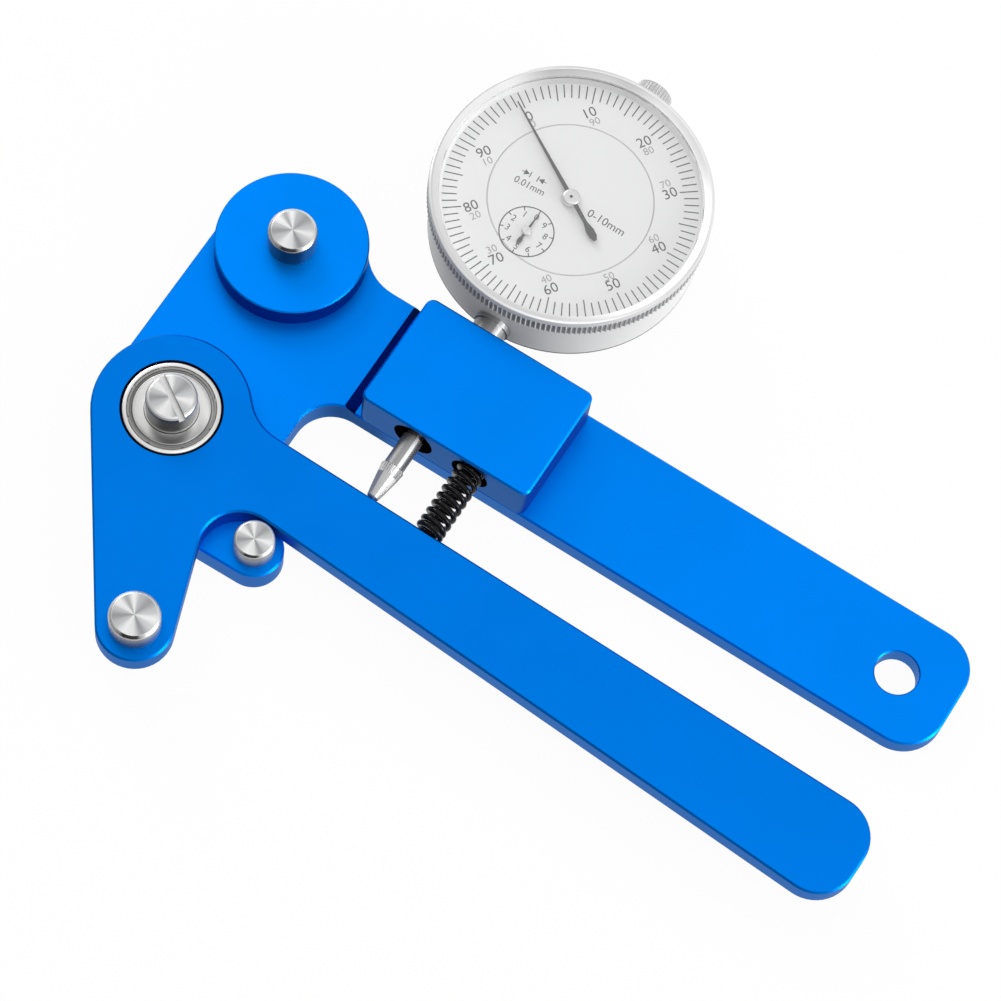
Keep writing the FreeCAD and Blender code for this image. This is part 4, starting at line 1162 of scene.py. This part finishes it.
def make_scale():
    """Each grey number stands beside its dark one, nearer the dial's middle line."""
    step = np.arange(TICKS)
    inner = np.where(step % 5 == 0, LONG_TICK_R, SHORT_TICK_R)
    large = [bars(dial, ZERO_AT - TURN * step / TICKS, inner, OUTER_R, TICK_WIDTH)]
    small = []
    right, up = print_frame(ZERO_AT)
    for number in range(0, TICKS, 10):
        turn = TURN * number / TICKS
        across = NUMBER_R * math.sin(turn)
        along = NUMBER_R * math.cos(turn)
        large.append(word(str(number), NUMBER_CAP, dial[:2] + across * right + along * up, ZERO_AT))
        along -= math.copysign((2.1 if number in (0, 50) else 2.5) * MM, along)
        backwards = str((TICKS - number) % TICKS)
        small.append(word(backwards, GREY_CAP, dial[:2] + across * right + along * up, ZERO_AT))
    add_piece("scale_print", joined(large), dark_ink, "bezel")
    add_piece("grey_numbers", joined(small), light_ink, "bezel")


make_scale()

# %% Print on the fixed inner dial
UNIT_FROM_DIAL = np.array([-9.545, -2.26]) * MM
RANGE_FROM_DIAL = np.array([9.665, -0.385]) * MM
LEFT_MARK = np.array([-11.61, 0.16]) * MM
RIGHT_MARK = np.array([-7.98, 0.29]) * MM
UNIT_UP = math.radians(93.9)
RANGE_UP = math.radians(90.2)
SUB_UP = math.radians(90)
SUB_R = 6.2 * MM
SUB_TICK_R = 5.3 * MM
SUB_NUMBER_R = 4.35 * MM
# Outlines in mm of an arrow and of the bar it stops at
GAP_SHAPES = (
    ((-1.3, 0.1), (-0.65, 0.1), (-0.65, 0.72), (0.62, 0.0), (-0.65, -0.72), (-0.65, -0.1), (-1.3, -0.1)),
    ((0.72, 0.75), (0.95, 0.75), (0.95, -0.75), (0.72, -0.75)),
)


def gap_mark(middle, towards):
    """Arrow that stops at a bar; towards is 1 when it points right and -1 when it points left."""
    right, up = print_frame(UNIT_UP)
    marks = []
    for outline in GAP_SHAPES:
        outline = np.array(outline) * MM
        flat = middle + towards * outline[:, :1] * right + outline[:, 1:] * up
        marks.append(prism(flat, dial_top, dial_top + INK))
    return marks


def make_inner_print():
    sub = spot("rack_pinion")[:2]
    angles = SUB_UP + TURN * np.arange(10) / 10
    dark = [circle_line(sub, SUB_R, 0.28 * MM), bars(sub, angles, SUB_TICK_R, SUB_R, 0.24 * MM)]
    for number, turn in enumerate(angles):
        place = sub + SUB_NUMBER_R * np.array([math.cos(turn), math.sin(turn)])
        dark.append(word(str(number), 1.55 * MM, place, SUB_UP))
    dark.append(word("0.01mm", 1.75 * MM, dial[:2] + UNIT_FROM_DIAL, UNIT_UP, width=7.43 * MM))
    dark.append(word("0-10mm", 2.0 * MM, dial[:2] + RANGE_FROM_DIAL, RANGE_UP, width=9.37 * MM))
    for place, towards in ((LEFT_MARK, 1), (RIGHT_MARK, -1)):
        dark += gap_mark(dial[:2] + place, towards)
    add_piece("inner_print", joined(dark), dark_ink, "base")
    add_piece("dial_circle", circle_line(dial, 18.8 * MM, 0.16 * MM), faint_ink, "base")


make_inner_print()

# %% [markdown]
# ## Pointers
# Each pointer is a lacquered blade pressed onto a bright hub. The blade tapers to a needle and ends
# in a spade-shaped tail that balances it.


# %% Pointers
LARGE_AT = math.radians(148.8)
SMALL_AT = math.radians(88)
# Rows of (distance along the blade, half width) in mm, from tip to tail
LARGE_BLADE = ((26.6, 0.13), (14, 0.3), (2.0, 0.5), (-7.0, 0.45), (-9.2, 0.95), (-10.8, 0.9), (-11.9, 0.35))
SMALL_BLADE = ((5.3, 0.07), (0.6, 0.3), (-1.9, 0.3), (-2.4, 0.5), (-3.3, 0.5), (-3.9, 0.2))
# Rows of (radius, depth under the top) in mm, from the middle out
LARGE_HUB = ((0, 0.3), (0.32, 0.3), (0.36, 0.02), (0.5, 0), (1.6, 0), (1.8, 0.06), (2.0, 0.25), (2.1, 0.5),
             (2.15, 0.75))
SMALL_HUB = ((0, 0.12), (0.3, 0.1), (0.35, 0), (0.9, 0), (1.1, 0.15))


def blade(centre, angle, stations, low, high):
    """Symmetric blade, turned to its angle: the stations on one side and back on the other."""
    half = np.array(stations, float) * MM
    flat = np.concatenate([half, half[::-1] * [1, -1]])
    cos, sin = math.cos(angle), math.sin(angle)
    return prism(flat @ np.array([[cos, sin], [-sin, cos]]) + centre[:2], low, high)


def hub(rows, low, high, columns, centre):
    """Hub from its rows down to low, where its wall goes straight down."""
    profile = [(r * MM, high - depth * MM) for r, depth in rows] + [(rows[-1][0] * MM, low), (0, low)]
    return turned(profile, columns, centre)


def make_pointers():
    foot, top = levels("large_pointer")
    level = top - 0.5 * MM
    mesh = blade(dial, LARGE_AT, LARGE_BLADE, level, level + 0.2 * MM)
    add_piece("pointer_blade", mesh, pointer_black, "pointer", ["large_pointer"])
    mesh = hub(LARGE_HUB, foot + 0.02 * MM, top, 64, dial)
    add_piece("pointer_hub", mesh, hub_metal, "pointer")
    sub = spot("rack_pinion")
    foot, top = levels("small_pointer")
    mesh = blade(sub, SMALL_AT, SMALL_BLADE, foot, foot + 0.15 * MM)
    add_piece("small_blade", mesh, pointer_black, "wheel", ["small_pointer"])
    mesh = hub(SMALL_HUB, foot, top, 48, sub)
    add_piece("small_hub", mesh, hub_metal, "wheel")


make_pointers()
